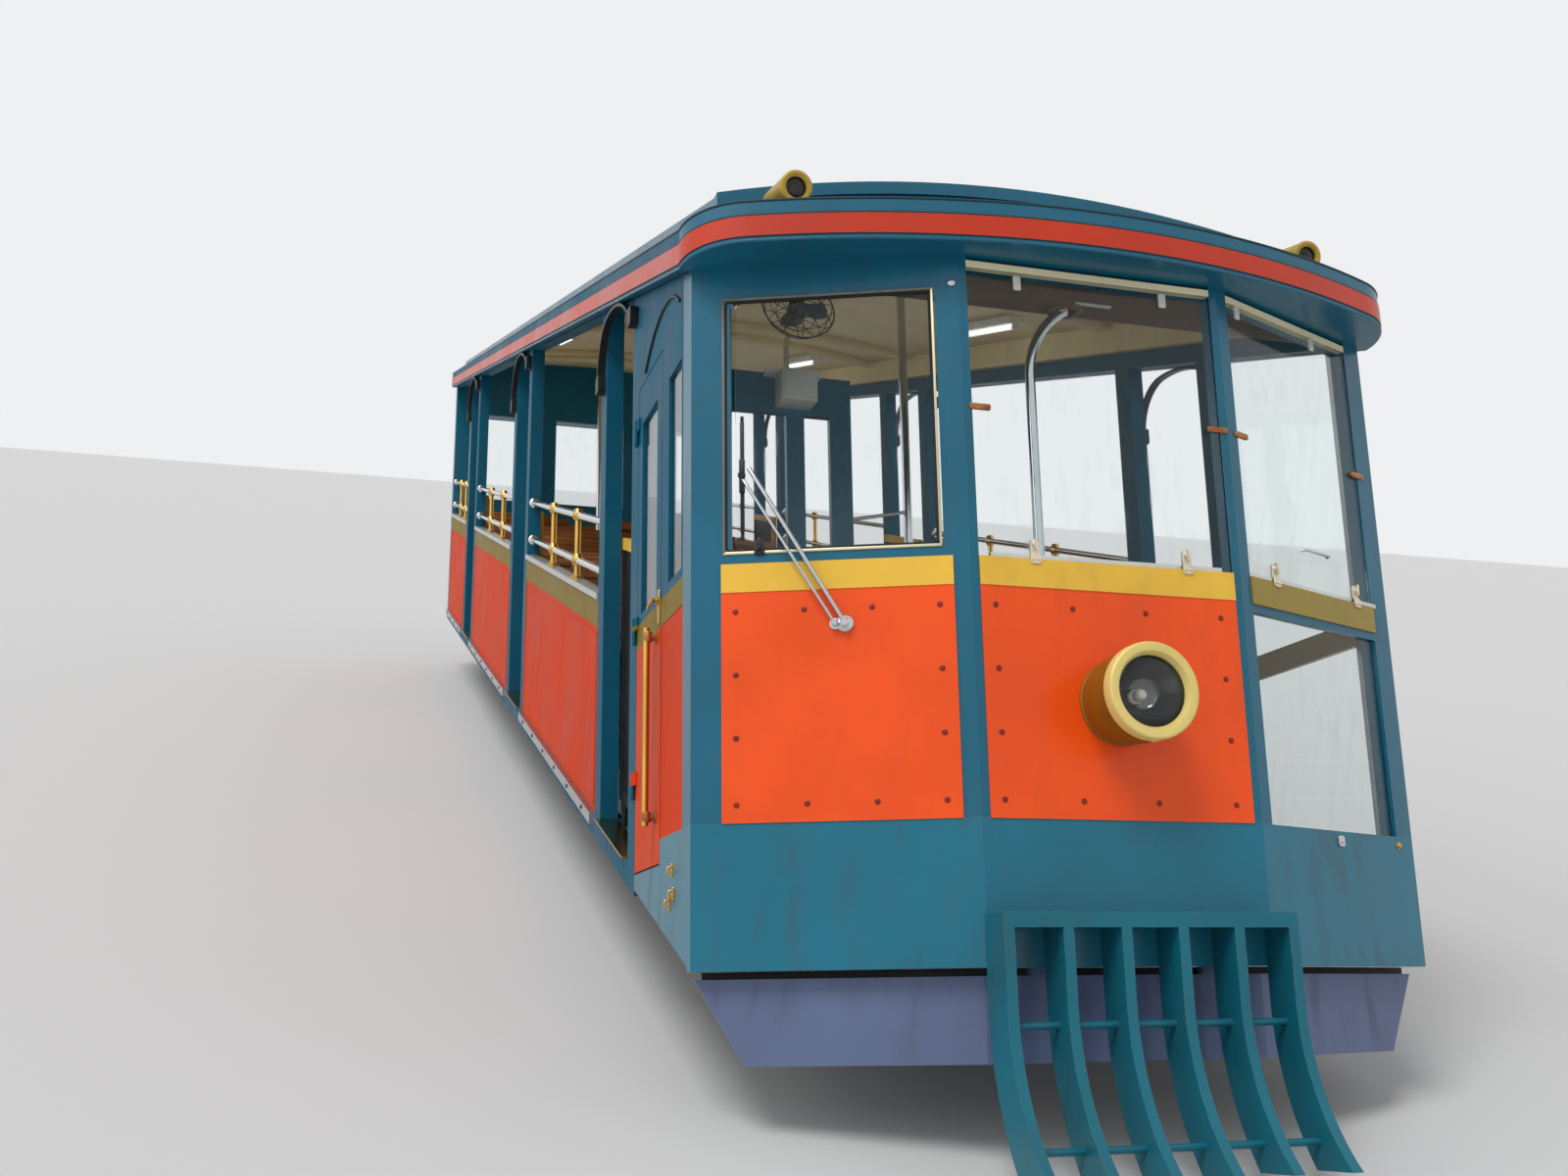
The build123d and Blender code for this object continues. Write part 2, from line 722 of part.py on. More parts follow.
# plane through the lamp's axis: x from the axis outwards, y out of the panel
LAMP_SECTION = Plane(origin=LAMP_AXIS.position, x_dir=(1, 0, 0), z_dir=direction(0, 0, -1))

with BuildPart() as headlamp:
    with BuildSketch(LAMP_SECTION):
        with BuildLine():
            Line((0, 0), (LAMP_BACK, 0))
            ring_foot = (LAMP_BODY, LAMP_REACH - LAMP_RING)
            ThreePointArc((LAMP_BACK, 0), LAMP_SWELL, ring_foot)
            Line(ring_foot, (LAMP_RADIUS, ring_foot[1]))
            round_side = (LAMP_RADIUS, LAMP_REACH - LAMP_ROUND)
            round_face = (LAMP_RADIUS - LAMP_ROUND, LAMP_REACH)
            Line((LAMP_RADIUS, ring_foot[1]), round_side)
            RadiusArc(round_side, round_face, -LAMP_ROUND)
            Line(round_face, (LAMP_LENS + LAMP_BEVEL, LAMP_REACH))
            Line((LAMP_LENS + LAMP_BEVEL, LAMP_REACH), (LAMP_LENS, LAMP_REACH - LAMP_BEVEL))
            Line((LAMP_LENS, LAMP_REACH - LAMP_BEVEL), (LAMP_LENS, LAMP_REACH - LAMP_SOCKET))
            Line((LAMP_LENS, LAMP_REACH - LAMP_SOCKET), (0, LAMP_REACH - LAMP_SOCKET))
            Line((0, LAMP_REACH - LAMP_SOCKET), (0, 0))
        make_face()
    revolve(axis=LAMP_AXIS)
save(headlamp, "headlamp")

LENS_EDGE = LAMP_REACH - LAMP_BEVEL
LENS_CURVE = (LAMP_LENS**2 + LENS_CROWN**2) / (2 * LENS_CROWN)
with BuildPart() as headlamp_lens:
    with BuildSketch(LAMP_SECTION):
        with BuildLine():
            Line((0, LAMP_REACH - LAMP_SOCKET), (LAMP_LENS, LAMP_REACH - LAMP_SOCKET))
            Line((LAMP_LENS, LAMP_REACH - LAMP_SOCKET), (LAMP_LENS, LENS_EDGE - LENS_CROWN))
            half_turn = atan2(LENS_CROWN, LAMP_LENS)
            crown = (LENS_CURVE * sin(half_turn), LENS_EDGE - LENS_CURVE * (1 - cos(half_turn)))
            ThreePointArc((LAMP_LENS, LENS_EDGE - LENS_CROWN), crown, (0, LENS_EDGE))
            Line((0, LENS_EDGE), (0, LAMP_REACH - LAMP_SOCKET))
        make_face()
    revolve(axis=LAMP_AXIS)
save(headlamp_lens, "headlamp_lens")

# Wiper of the cab window

WIPER_PIVOT = (470, 1011)
WIPER_TIP = (184, 1513)
BLADE_X = 162
BLADE_SPAN = (1290, 1690)
WIPER_HUB = (26, 34)  # radius, height
WIPER_ARM = (12, 10)  # width, thickness
ARM_LIFT = 20
ARM_SPREAD = (-30, 0, -22, -30)  # second arm's ends beside the first one's
BLADE_HOLD = 44
BLADE_HALF = 8

with BuildPart() as wiper:
    with BuildSketch(facet_plane(*FACETS["left"], -PANEL_PROUD)):
        with Locations(WIPER_PIVOT):
            Circle(WIPER_HUB[0])
    extrude(amount=WIPER_HUB[1])
    second_foot = (WIPER_PIVOT[0] + ARM_SPREAD[0], WIPER_PIVOT[1] + ARM_SPREAD[1])
    second_tip = (WIPER_TIP[0] + ARM_SPREAD[2], WIPER_TIP[1] + ARM_SPREAD[3])
    for foot, tip in ((WIPER_PIVOT, WIPER_TIP), (second_foot, second_tip)):
        with BuildSketch(facet_plane(*FACETS["left"], -PANEL_PROUD - ARM_LIFT)):
            with BuildLine():
                Line(foot, tip)
            trace(line_width=WIPER_ARM[0])
        extrude(amount=WIPER_ARM[1])
    # holder of the blade, and the blade
    with BuildSketch(facet_plane(*FACETS["left"], -PANEL_PROUD - ARM_LIFT + BLADE_HALF)):
        across = (BLADE_X - BLADE_HALF, WIPER_TIP[0] + BLADE_HALF)
        heights = (WIPER_TIP[1] - BLADE_HOLD, WIPER_TIP[1] + BLADE_HALF)
        Polygon(*rect(*across, *heights), align=None)
    extrude(amount=2 * BLADE_HALF)
    with BuildSketch(facet_plane(*FACETS["left"], -TRIM_PROUD)):
        Polygon(*rect(BLADE_X - BLADE_HALF, BLADE_X + BLADE_HALF, *BLADE_SPAN), align=None)
    extrude(amount=ARM_LIFT - TRIM_PROUD)
save(wiper, "wiper")

# Valance under the skirt

with BuildPart() as valance:
    with BuildSketch(BODY.offset(VALANCE_FOOT)):
        Polygon(*bow_strip(VALANCE_INSET, VALANCE_INSET + VALANCE_WALL, VALANCE_END), align=None)
    extrude(amount=VALANCE_TOP - VALANCE_FOOT)
    # hangers up to the back of the skirt
    hanger_depth = VALANCE_WALL + VALANCE_LAP
    hanger_y = VALANCE_INSET - BOW + VALANCE_WALL - hanger_depth / 2
    for side in (-1, 1):
        with BuildSketch(BODY.offset(VALANCE_TOP)):
            with Locations((side * VALANCE_HANGER_X, hanger_y)):
                Rectangle(VALANCE_HANGER, hanger_depth)
        extrude(amount=-VALANCE_TOP)
    with BuildSketch(face_plane(-2 * BOW)):
        for side in (-1, 1):
            Polygon(
                (side * (HALF - VALANCE_END), VALANCE_TOP),
                (side * HALF, VALANCE_TOP),
                (side * HALF, VALANCE_FOOT),
                (side * (HALF - VALANCE_END - VALANCE_TAPER), VALANCE_FOOT),
                align=None,
            )
    extrude(amount=-4 * BOW, mode=Mode.SUBTRACT)
save(valance, "valance")

# Cowcatcher: a beam with curved slats and two cross rods

SLAT_FRONT = -BOW - SLAT_DEPTH
SLAT_XS = [(index - (SLAT_COUNT - 1) / 2) * SLAT_PITCH for index in range(SLAT_COUNT)]

with BuildPart() as cowcatcher:
    for x in SLAT_XS:
        with BuildSketch(lean_side_plane(x - SLAT_THICK / 2)):
            with BuildLine():
                front_top = (SLAT_FRONT, SLAT_TOP)
                back_top = (SLAT_FRONT + SLAT_DEPTH, SLAT_TOP)
                front_knee = slat_point(0, 0)
                back_knee = slat_point(SLAT_DEPTH, 0)
                front_toe = slat_point(0, SLAT_SWEEP)
                back_toe = slat_point(SLAT_DEPTH, SLAT_SWEEP - SLAT_CUT)
                Line(front_top, front_knee)
                ThreePointArc(front_knee, slat_point(0, SLAT_SWEEP / 2), front_toe)
                Line(front_toe, back_toe)
                ThreePointArc(back_toe, slat_point(SLAT_DEPTH, (SLAT_SWEEP - SLAT_CUT) / 2), back_knee)
                Line(back_knee, back_top)
                Line(back_top, front_top)
            make_face()
        extrude(amount=SLAT_THICK)
    beam_half = SLAT_XS[-1] + SLAT_THICK / 2
    with BuildSketch(lean_side_plane(-beam_half)):
        Polygon(*rect(SLAT_FRONT, -BOW, SLAT_TOP - BEAM_HEIGHT, SLAT_TOP), align=None)
    extrude(amount=2 * beam_half)
    for angle in ROD_ANGLES:
        middle = slat_point(SLAT_DEPTH / 2, angle)
        with BuildSketch(lean_side_plane(SLAT_XS[0])):
            with Locations(middle):
                Circle(ROD_RADIUS)
        extrude(amount=SLAT_XS[-1] - SLAT_XS[0])
save(cowcatcher, "cowcatcher")

# Visor: bowed soffit and rim in front of the roof

# radius of the wide front arc that meets the two corner arcs and the nose
VISOR_RADIUS = ((VISOR_HALF - VISOR_CORNER) ** 2 + VISOR_NOSE**2 - VISOR_CORNER**2) / (
    2 * (VISOR_NOSE - VISOR_CORNER)
)


def visor_points(inset):
    """Plan points of the visor's edge, set in: side end, arc middle and arc end of the right half."""
    corner = VISOR_CORNER - inset
    reach = VISOR_HALF - VISOR_CORNER
    centre_y = VISOR_RADIUS - VISOR_NOSE
    span = VISOR_RADIUS - VISOR_CORNER
    unit = (reach / span, -centre_y / span)
    joint = (reach + unit[0] * corner, unit[1] * corner)
    swing = atan2(-unit[1], unit[0]) / 2
    middle = (reach + corner * cos(swing), -corner * sin(swing))
    return (reach + corner, 0), middle, joint


def flip(point):
    """Mirror a plan point to the left half."""
    return (-point[0], point[1])


def visor_edge(inset):
    """Draw the visor's edge from the right side round the nose to the left side."""
    side_end, middle, joint = visor_points(inset)
    ThreePointArc(side_end, middle, joint)
    ThreePointArc(joint, (0, inset - VISOR_NOSE), flip(joint))
    ThreePointArc(flip(joint), flip(middle), flip(side_end))


def crown_arc(half, edge, rise):
    """Draw a shallow arc across the car, from left to right."""
    ThreePointArc((-half, edge), (0, edge + rise), (half, edge))


def crown_edge(half, edge, rise, wall):
    """Draw the closed edge of a crowned sheet with upright ends."""
    crown_arc(half, edge, rise)
    Line((half, edge), (half, edge - wall))
    crown_arc(half, edge - wall, rise)
    Line((-half, edge - wall), (-half, edge))


with BuildPart() as visor:
    with BuildSketch(BODY.offset(FASCIA_FOOT)):
        with BuildLine():
            visor_edge(0)
            Line((-VISOR_HALF, 0), (VISOR_HALF, 0))
        make_face()
    extrude(amount=FASCIA_TOP - FASCIA_FOOT)
    with BuildSketch(BODY.offset(FASCIA_FOOT + SOFFIT_WALL)):
        with BuildLine():
            visor_edge(VISOR_WALL)
            Line((VISOR_WALL - VISOR_HALF, 0), (VISOR_HALF - VISOR_WALL, 0))
        make_face()
    extrude(amount=FASCIA_TOP, mode=Mode.SUBTRACT)
save(visor, "visor")

# Deck that closes the visor inside its rim, and the arched gable of the raised roof behind it

COVE_FOOT = FASCIA_TOP - DECK_SINK
COVE_X = VISOR_HALF - VISOR_WALL
REAR_WALL_TOP = COVE_FOOT - COVE_WALL
RAIL_FOOT = ROOF_EDGE - ROOF_RAIL_HEIGHT

with BuildPart() as visor_cap:
    with BuildSketch(BODY.offset(COVE_FOOT - DECK_WALL)):
        with BuildLine():
            visor_edge(VISOR_WALL + SEAM)
            Line((SEAM - COVE_X, 0), (COVE_X - SEAM, 0))
        make_face()
    extrude(amount=DECK_WALL)
    with BuildSketch(face_plane()):
        with BuildLine():
            Polyline(
                (ROOF_HALF, ROOF_EDGE),
                (ROOF_HALF, RAIL_FOOT),
                (COVE_X - SEAM, COVE_FOOT),
                (COVE_X - SEAM, FASCIA_FOOT + SOFFIT_WALL),
                (SEAM - COVE_X, FASCIA_FOOT + SOFFIT_WALL),
                (SEAM - COVE_X, COVE_FOOT),
                (-ROOF_HALF, RAIL_FOOT),
                (-ROOF_HALF, ROOF_EDGE),
            )
            crown_arc(ROOF_HALF, ROOF_EDGE, ROOF_RISE)
        make_face()
    extrude(amount=GABLE_WALL)
save(visor_cap, "visor_cap")

# Roof shell, its edge rails, side fascias with their coves, red stripe, ceiling and cantrails

with BuildPart() as eaves:
    with BuildSketch(face_plane()):
        for side in (-1, 1):
            Polygon(
                (side * VISOR_HALF, FASCIA_FOOT),
                (side * VISOR_HALF, FASCIA_TOP),
                (side * COVE_X, FASCIA_TOP),
                (side * COVE_X, COVE_FOOT),
                (side * ROOF_HALF, RAIL_FOOT),
                (side * (ROOF_HALF - COVE_WALL), RAIL_FOOT),
                (side * (COVE_X - COVE_WALL), COVE_FOOT - COVE_WALL),
                (side * COVE_X, COVE_FOOT - COVE_WALL),
                (side * COVE_X, FASCIA_FOOT),
                align=None,
            )
    extrude(amount=BODY_LENGTH, dir=UPHILL)
save(eaves, "eaves")

with BuildPart() as roof_shell:
    with BuildSketch(face_plane()):
        with BuildLine():
            crown_edge(ROOF_HALF - ROOF_RAIL_WALL, ROOF_EDGE, ROOF_RISE, ROOF_WALL)
        make_face()
    extrude(amount=BODY_LENGTH, dir=UPHILL)
save(roof_shell, "roof_shell")

with BuildPart() as roof_rails:
    with BuildSketch(face_plane()):
        for side in (-1, 1):
            Polygon(
                *rect(side * (ROOF_HALF - ROOF_RAIL_WALL), side * ROOF_HALF, RAIL_FOOT, ROOF_EDGE),
                align=None,
            )
    extrude(amount=BODY_LENGTH, dir=UPHILL)
    # arched rail across the gable
    with BuildSketch(face_plane(-GABLE_WALL)):
        with BuildLine():
            crown_edge(ROOF_HALF, ROOF_EDGE, ROOF_RISE, ROOF_RAIL_HEIGHT)
        make_face()
    extrude(amount=ROOF_RAIL_WALL)
save(roof_rails, "roof_rails")

CANT_RUN = BODY_LENGTH - REAR_POST
with BuildPart() as cantrails:
    with BuildSketch(section_plane(0)):
        for side in (-1, 1):
            Polygon(
                *rect(side * (HALF - CANT_WIDTH), side * HALF, FASCIA_FOOT, FASCIA_FOOT + CANT_HEIGHT),
                align=None,
            )
    extrude(amount=CANT_RUN, dir=UPHILL)
save(cantrails, "cantrails")

with BuildPart() as ceiling:
    with BuildSketch(section_plane(0)):
        with BuildLine():
            crown_edge(CEILING_HALF, CEILING_EDGE + CEILING_WALL, CEILING_RISE, CEILING_WALL)
        make_face()
        # cornice boards down behind the cantrails
        for side in (-1, 1):
            Polygon(
                (side * CEILING_HALF, CEILING_EDGE + CEILING_WALL),
                (side * CEILING_HALF, FASCIA_FOOT + CANT_HEIGHT),
                (side * (HALF - CANT_WIDTH), FASCIA_FOOT + CANT_HEIGHT),
                (side * (HALF - CANT_WIDTH), FASCIA_FOOT + CANT_HEIGHT - CEILING_WALL),
                (side * (CEILING_HALF - CEILING_WALL), FASCIA_FOOT + CANT_HEIGHT - CEILING_WALL),
                (side * (CEILING_HALF - CEILING_WALL), CEILING_EDGE + CEILING_WALL),
                align=None,
            )
    extrude(amount=CANT_RUN, dir=UPHILL)
save(ceiling, "ceiling")

with BuildPart() as roof_stripe:
    with BuildSketch(face_plane()):
        for side in (-1, 1):
            Polygon(
                *rect(side * VISOR_HALF, side * (VISOR_HALF + STRIPE_PROUD), STRIPE_FOOT, STRIPE_TOP),
                align=None,
            )
    extrude(amount=BODY_LENGTH, dir=UPHILL)
    with BuildSketch(BODY.offset(STRIPE_FOOT)):
        with BuildLine():
            visor_edge(-STRIPE_PROUD)
            Line((-VISOR_HALF - STRIPE_PROUD, 0), (-VISOR_HALF, 0))
            visor_edge(0)
            Line((VISOR_HALF, 0), (VISOR_HALF + STRIPE_PROUD, 0))
        make_face()
    extrude(amount=STRIPE_TOP - STRIPE_FOOT)
save(roof_stripe, "roof_stripe")

# Two tube lamps on the visor's deck, aimed down the track

with BuildPart() as roof_lamps:
    for lamp_x in ROOF_LAMPS:
        ring = BODY.from_local_coords(Vector(lamp_x, ROOF_LAMP_Y, ROOF_LAMP_Z))
        tilt = radians(ROOF_LAMP_TILT)
        mouth = Plane(origin=ring, x_dir=(1, 0, 0), z_dir=direction(0, -cos(tilt), -sin(tilt)))
        with BuildSketch(mouth):
            Circle(ROOF_LAMP_R)
        with BuildSketch(mouth.offset(-ROOF_LAMP_LENGTH)):
            Circle(ROOF_LAMP_TAIL)
        loft()
        with BuildSketch(BODY.offset(COVE_FOOT)):
            with Locations((lamp_x, ROOF_LAMP_Y + 2 * ROOF_LAMP_R)):
                Circle(ROOF_LAMP_STEM)
        extrude(amount=ROOF_LAMP_Z - COVE_FOOT)
        with BuildSketch(mouth):
            Circle(ROOF_LAMP_BORE)
        extrude(amount=-ROOF_LAMP_LENGTH / 2, mode=Mode.SUBTRACT)
    # the tails end at the gable
    with BuildSketch(face_plane(-GABLE_WALL - ROOF_RAIL_WALL)):
        with Locations((0, ROOF_LAMP_Z)):
            Rectangle(2 * VISOR_HALF, 2 * ROOF_RISE)
    extrude(amount=-ROOF_LAMP_LENGTH, mode=Mode.SUBTRACT)
save(roof_lamps, "roof_lamps")

# Sides: posts, panels, bands, sills, rails and steps

DOOR_HINGE = (-HALF - HINGE_OUT, CAB_SIDE_END - DOOR_GAP / 2)
HINGE_STEP = HINGE_LENGTH + HINGE_PLAY
with BuildPart() as side_posts:
    for name, side in SIDES:
        for start in POSTS:
            with BuildSketch(side_plane(side * HALF)):
                Polygon(*leaning(start, start + POST_WIDTH, SOLE_TOP, FASCIA_FOOT * COSINE), align=None)
            extrude(amount=-side * POST_INSET)
    # fixed halves of the cab door's hinges
    for height in HINGE_HEIGHTS:
        with BuildSketch(BODY.offset(height)):
            with Locations(DOOR_HINGE):
                Circle(HINGE_RADIUS)
            Polygon(
                *rect(-HALF - HINGE_OUT, -HALF, DOOR_HINGE[1], DOOR_HINGE[1] + HINGE_LEAF),
                align=None,
            )
        extrude(amount=HINGE_LENGTH)
save(side_posts, "side_posts")

with BuildPart() as sill_caps:
    for name, side in SIDES:
        for start, end in BAYS:
            with BuildSketch(side_plane(side * (HALF + SILL_PROUD))):
                Polygon(*leaning(start, end, SIDE_BAND_TOP, SILL_TOP), align=None)
            extrude(amount=-side * POST_INSET)
save(sill_caps, "sill_caps")

RAIL_X = HALF - RAIL_INSET
RAIL_HEIGHTS = (RAIL_LOWER / COSINE, RAIL_UPPER / COSINE)
with BuildPart() as handrails:
    for name, side in SIDES:
        for start, end in BAYS:
            with BuildSketch(section_plane(start)):
                with Locations(*((side * RAIL_X, height) for height in RAIL_HEIGHTS)):
                    Ellipse(RAIL_RADIUS, RAIL_RADIUS / COSINE)
            extrude(amount=end - start, dir=UPHILL)
save(handrails, "handrails")

with BuildPart() as rail_posts:
    for name, side in SIDES:
        for start, end in BAYS:
            third = (end - start) / (RAIL_POSTS + 1)
            for foot in (start + third, end - third):
                foot_y = FRONT_Y + foot + SILL_TOP * SLOPE
                with BuildSketch(Plane(origin=(side * RAIL_X, foot_y, SKIRT_Z + SILL_TOP))):
                    Circle(RAIL_POST_RADIUS)
                extrude(amount=(RAIL_UPPER - SILL_TOP) / COSINE, dir=BODY.z_dir)
            for height in (RAIL_LOWER, RAIL_UPPER):
                with BuildSketch(Plane.XZ.offset(-(FRONT_Y + start + height * SLOPE))):
                    with Locations((side * RAIL_X, SKIRT_Z + height)):
                        Circle(RAIL_RADIUS)
                extrude(amount=-(end - start), mode=Mode.SUBTRACT)
save(rail_posts, "rail_posts")

with BuildPart() as step_strips:
    for name, side in SIDES:
        for start, end in BAYS:
            with BuildSketch(side_plane(side * (HALF + STRIP_PROUD))):
                Polygon(*leaning(start, end, SOLE_TOP - STRIP_HEIGHT, SOLE_TOP), align=None)
            extrude(amount=-side * STRIP_PROUD)
save(step_strips, "step_strips")

with BuildPart() as door_treads:
    for name, side in SIDES:
        for start in DOOR_POSTS:
            with BuildSketch(side_plane(side * (HALF + STRIP_PROUD))):
                Polygon(
                    *leaning(start + POST_WIDTH, start + DOOR_PITCH, SOLE_TOP, SOLE_TOP + TREAD_WALL),
                    align=None,
                )
            extrude(amount=-side * (STRIP_PROUD + POST_INSET))
save(door_treads, "door_treads")

# Arched straps over the doorways, each with a clamp on the post before and behind

STRAP_X = HALF + SEAM
with BuildPart() as door_straps:
    for name, side in SIDES:
        for start in DOOR_POSTS:
            foot_y, foot_z = to_body(start, 0)
            plane = lean_side_plane(side * STRAP_X)
            # clamp, crown and clamp, from the foot of the doorway's front post
            front = (foot_y + POST_WIDTH * COSINE / 2, foot_z + STRAP_FRONT)
            crown = (foot_y + DOOR_PITCH * COSINE * STRAP_CROWN_Y, foot_z + STRAP_CROWN)
            shoulder = (foot_y + DOOR_PITCH * COSINE * STRAP_RISE_Y, foot_z + STRAP_SHOULDER)
            back = (foot_y + (DOOR_PITCH + POST_WIDTH / 2) * COSINE, foot_z + STRAP_BACK)
            with BuildSketch(plane):
                with BuildLine():
                    rise = ThreePointArc(front, shoulder, crown)
                    TangentArc(crown, back, tangent=rise % 1)
                trace(line_width=STRAP_WALL)
            extrude(amount=side * STRAP_WIDTH)
            for clamp in (front, back):
                with BuildSketch(lean_side_plane(side * HALF)):
                    with Locations(clamp):
                        RectangleRounded(*STRAP_CLAMP, STRAP_WALL)
                extrude(amount=side * (STRAP_WIDTH + SEAM))
save(door_straps, "door_straps")

# Sliding gates of the doorways: a recessed panel in a rim, on two shoes

GATE_X = HALF - POST_INSET - GATE_GAP
for name, side in SIDES:
    for number, start in enumerate(DOOR_POSTS, 1):
        first = start + POST_WIDTH - GATE_SIDE_GAP
        last = start + DOOR_PITCH + GATE_SIDE_GAP
        with BuildPart() as gate:
            with BuildSketch(side_plane(side * GATE_X)):
                Polygon(*leaning(first, last, GATE_FOOT, GATE_TOP), align=None)
            extrude(amount=-side * GATE_WALL)
            for face in (GATE_X, GATE_X - GATE_WALL + GATE_RECESS):
                with BuildSketch(side_plane(side * face)):
                    field = (first + GATE_RIM, last - GATE_RIM)
                    heights = (GATE_FOOT + GATE_RIM, GATE_TOP - GATE_RIM)
                    Polygon(*leaning(*field, *heights), align=None)
                extrude(amount=-side * GATE_RECESS, mode=Mode.SUBTRACT)
            for shoe in (first + SHOE_LENGTH, last - 2 * SHOE_LENGTH):
                with BuildSketch(side_plane(side * GATE_X)):
                    Polygon(
                        *leaning(shoe, shoe + SHOE_LENGTH, SOLE_TOP + SHOE_GAP, GATE_FOOT),
                        align=None,
                    )
                extrude(amount=-side * GATE_WALL)
        save(gate, f"gate_{name}_{number}")

# Cab side panels on both sides, and the driver's door on the left

REAR_PANES = ((-REAR_PANE_X, REAR_PANE_Z), (0, REAR_PANE_Z), (REAR_PANE_X, REAR_PANE_Z))


def side_window(first, last):
    """Outline of one narrow window of the cab side."""
    return rect(first, last, GLASS_FOOT, SIDE_WINDOW_TOP)


def under_roof(y):
    """Height of the cantrail's foot at a depth behind the front, in the leaning body's axes."""
    return FASCIA_FOOT + y * SLOPE


with BuildPart() as cab_sides:
    with BuildSketch(lean_side_plane(-HALF)):
        Polygon(
            (CORNER_RETURN, BAND_TOP),
            (CAB_SIDE_END, BAND_TOP),
            (CAB_SIDE_END, under_roof(CAB_SIDE_END)),
            (CORNER_RETURN, under_roof(CORNER_RETURN)),
            align=None,
        )
        Polygon(*side_window(*FRONT_WINDOW), align=None, mode=Mode.SUBTRACT)
        Polygon(*rect(DOOR_FRONT, CAB_SIDE_END, BAND_TOP, HEADER_FOOT), align=None, mode=Mode.SUBTRACT)
    extrude(amount=FRAME_WALL)
save(cab_sides, "cab_sides")

with BuildPart() as side_panels:
    for name, side in SIDES:
        for start, end in BAYS:
            with BuildSketch(side_plane(side * (HALF - PANEL_SET))):
                Polygon(*leaning(start, end, SOLE_TOP, SIDE_BAND_FOOT), align=None)
            extrude(amount=-side * SIDE_WALL)
    with BuildSketch(lean_side_plane(PANEL_SET - HALF)):
        Polygon(*rect(CORNER_RETURN, DOOR_FRONT, PANEL_FOOT, BAND_FOOT), align=None)
    extrude(amount=SIDE_WALL)
save(side_panels, "side_panels")

with BuildPart() as side_bands:
    for name, side in SIDES:
        for start, end in BAYS:
            with BuildSketch(side_plane(side * HALF)):
                Polygon(*leaning(start, end, SIDE_BAND_FOOT, SIDE_BAND_TOP), align=None)
            extrude(amount=-side * SIDE_WALL)
        end = DOOR_FRONT if side < 0 else CAB_SIDE_END
        with BuildSketch(lean_side_plane(side * HALF)):
            Polygon(*rect(CORNER_RETURN, end, BAND_FOOT, BAND_TOP), align=None)
        extrude(amount=-side * SIDE_WALL)
save(side_bands, "side_bands")

with BuildPart() as side_windows:
    # panes of the rear wall
    with BuildSketch(section_plane(BODY_LENGTH).offset(REAR_POST * COSINE / 2)):
        with Locations(*REAR_PANES):
            Rectangle(*REAR_PANE_SIZE)
    extrude(amount=GLASS_WALL)
    with BuildSketch(lean_side_plane(GLASS_SET - HALF)):
        Polygon(*side_window(*FRONT_WINDOW), align=None)
    extrude(amount=GLASS_WALL)
    # clear sheets beside the front seats on the right
    with BuildSketch(lean_side_plane(HALF - GLASS_SET)):
        Polygon(*rect(CORNER_RETURN, CAB_SIDE_END, PANEL_FOOT, BAND_FOOT), align=None)
        Polygon(
            (CORNER_RETURN, BAND_TOP),
            (CAB_SIDE_END, BAND_TOP),
            (CAB_SIDE_END, under_roof(CAB_SIDE_END)),
            (CORNER_RETURN, under_roof(CORNER_RETURN)),
            align=None,
        )
    extrude(amount=-GLASS_WALL)
save(side_windows, "side_windows")

CAB_DOOR_EDGES = (DOOR_FRONT + DOOR_GAP, CAB_SIDE_END - DOOR_GAP)
with BuildPart() as cab_door:
    with BuildSketch(lean_side_plane(-HALF)):
        Polygon(*rect(*CAB_DOOR_EDGES, DOOR_PANEL_FOOT + DOOR_GAP, HEADER_FOOT - DOOR_GAP), align=None)
        Polygon(*side_window(*REAR_WINDOW), align=None, mode=Mode.SUBTRACT)
    extrude(amount=PANEL_WALL)
    # moving halves of the hinges, over the fixed ones
    for height in HINGE_HEIGHTS:
        with BuildSketch(BODY.offset(height + HINGE_STEP)):
            with Locations(DOOR_HINGE):
                Circle(HINGE_RADIUS)
            Polygon(
                *rect(-HALF - HINGE_OUT, -HALF, DOOR_HINGE[1] - HINGE_LEAF, DOOR_HINGE[1]),
                align=None,
            )
        extrude(amount=HINGE_LENGTH)
save(cab_door, "cab_door")

with BuildPart() as cab_door_glass:
    with BuildSketch(lean_side_plane(GLASS_SET - HALF)):
        Polygon(*side_window(*REAR_WINDOW), align=None)
    extrude(amount=GLASS_WALL)
save(cab_door_glass, "cab_door_glass")

CAB_RAIL_Y = DOOR_FRONT + CAB_RAIL_SET
with BuildPart() as cab_door_rail:
    with BuildSketch(BODY.offset(CAB_RAIL_FOOT)):
        with Locations((-HALF - CAB_RAIL_STANDOFF, CAB_RAIL_Y)):
            Circle(CAB_RAIL_RADIUS)
    extrude(amount=CAB_RAIL_TOP - CAB_RAIL_FOOT)
    for height in (CAB_RAIL_FOOT + CAB_RAIL_END, CAB_RAIL_TOP - CAB_RAIL_END):
        with BuildSketch(lean_side_plane(-HALF)):
            with Locations((CAB_RAIL_Y, height)):
                Circle(CAB_RAIL_BRACKET)
        extrude(amount=-CAB_RAIL_STANDOFF)
save(cab_door_rail, "cab_door_rail")

# Rear wall, leaning like the front, with three window openings

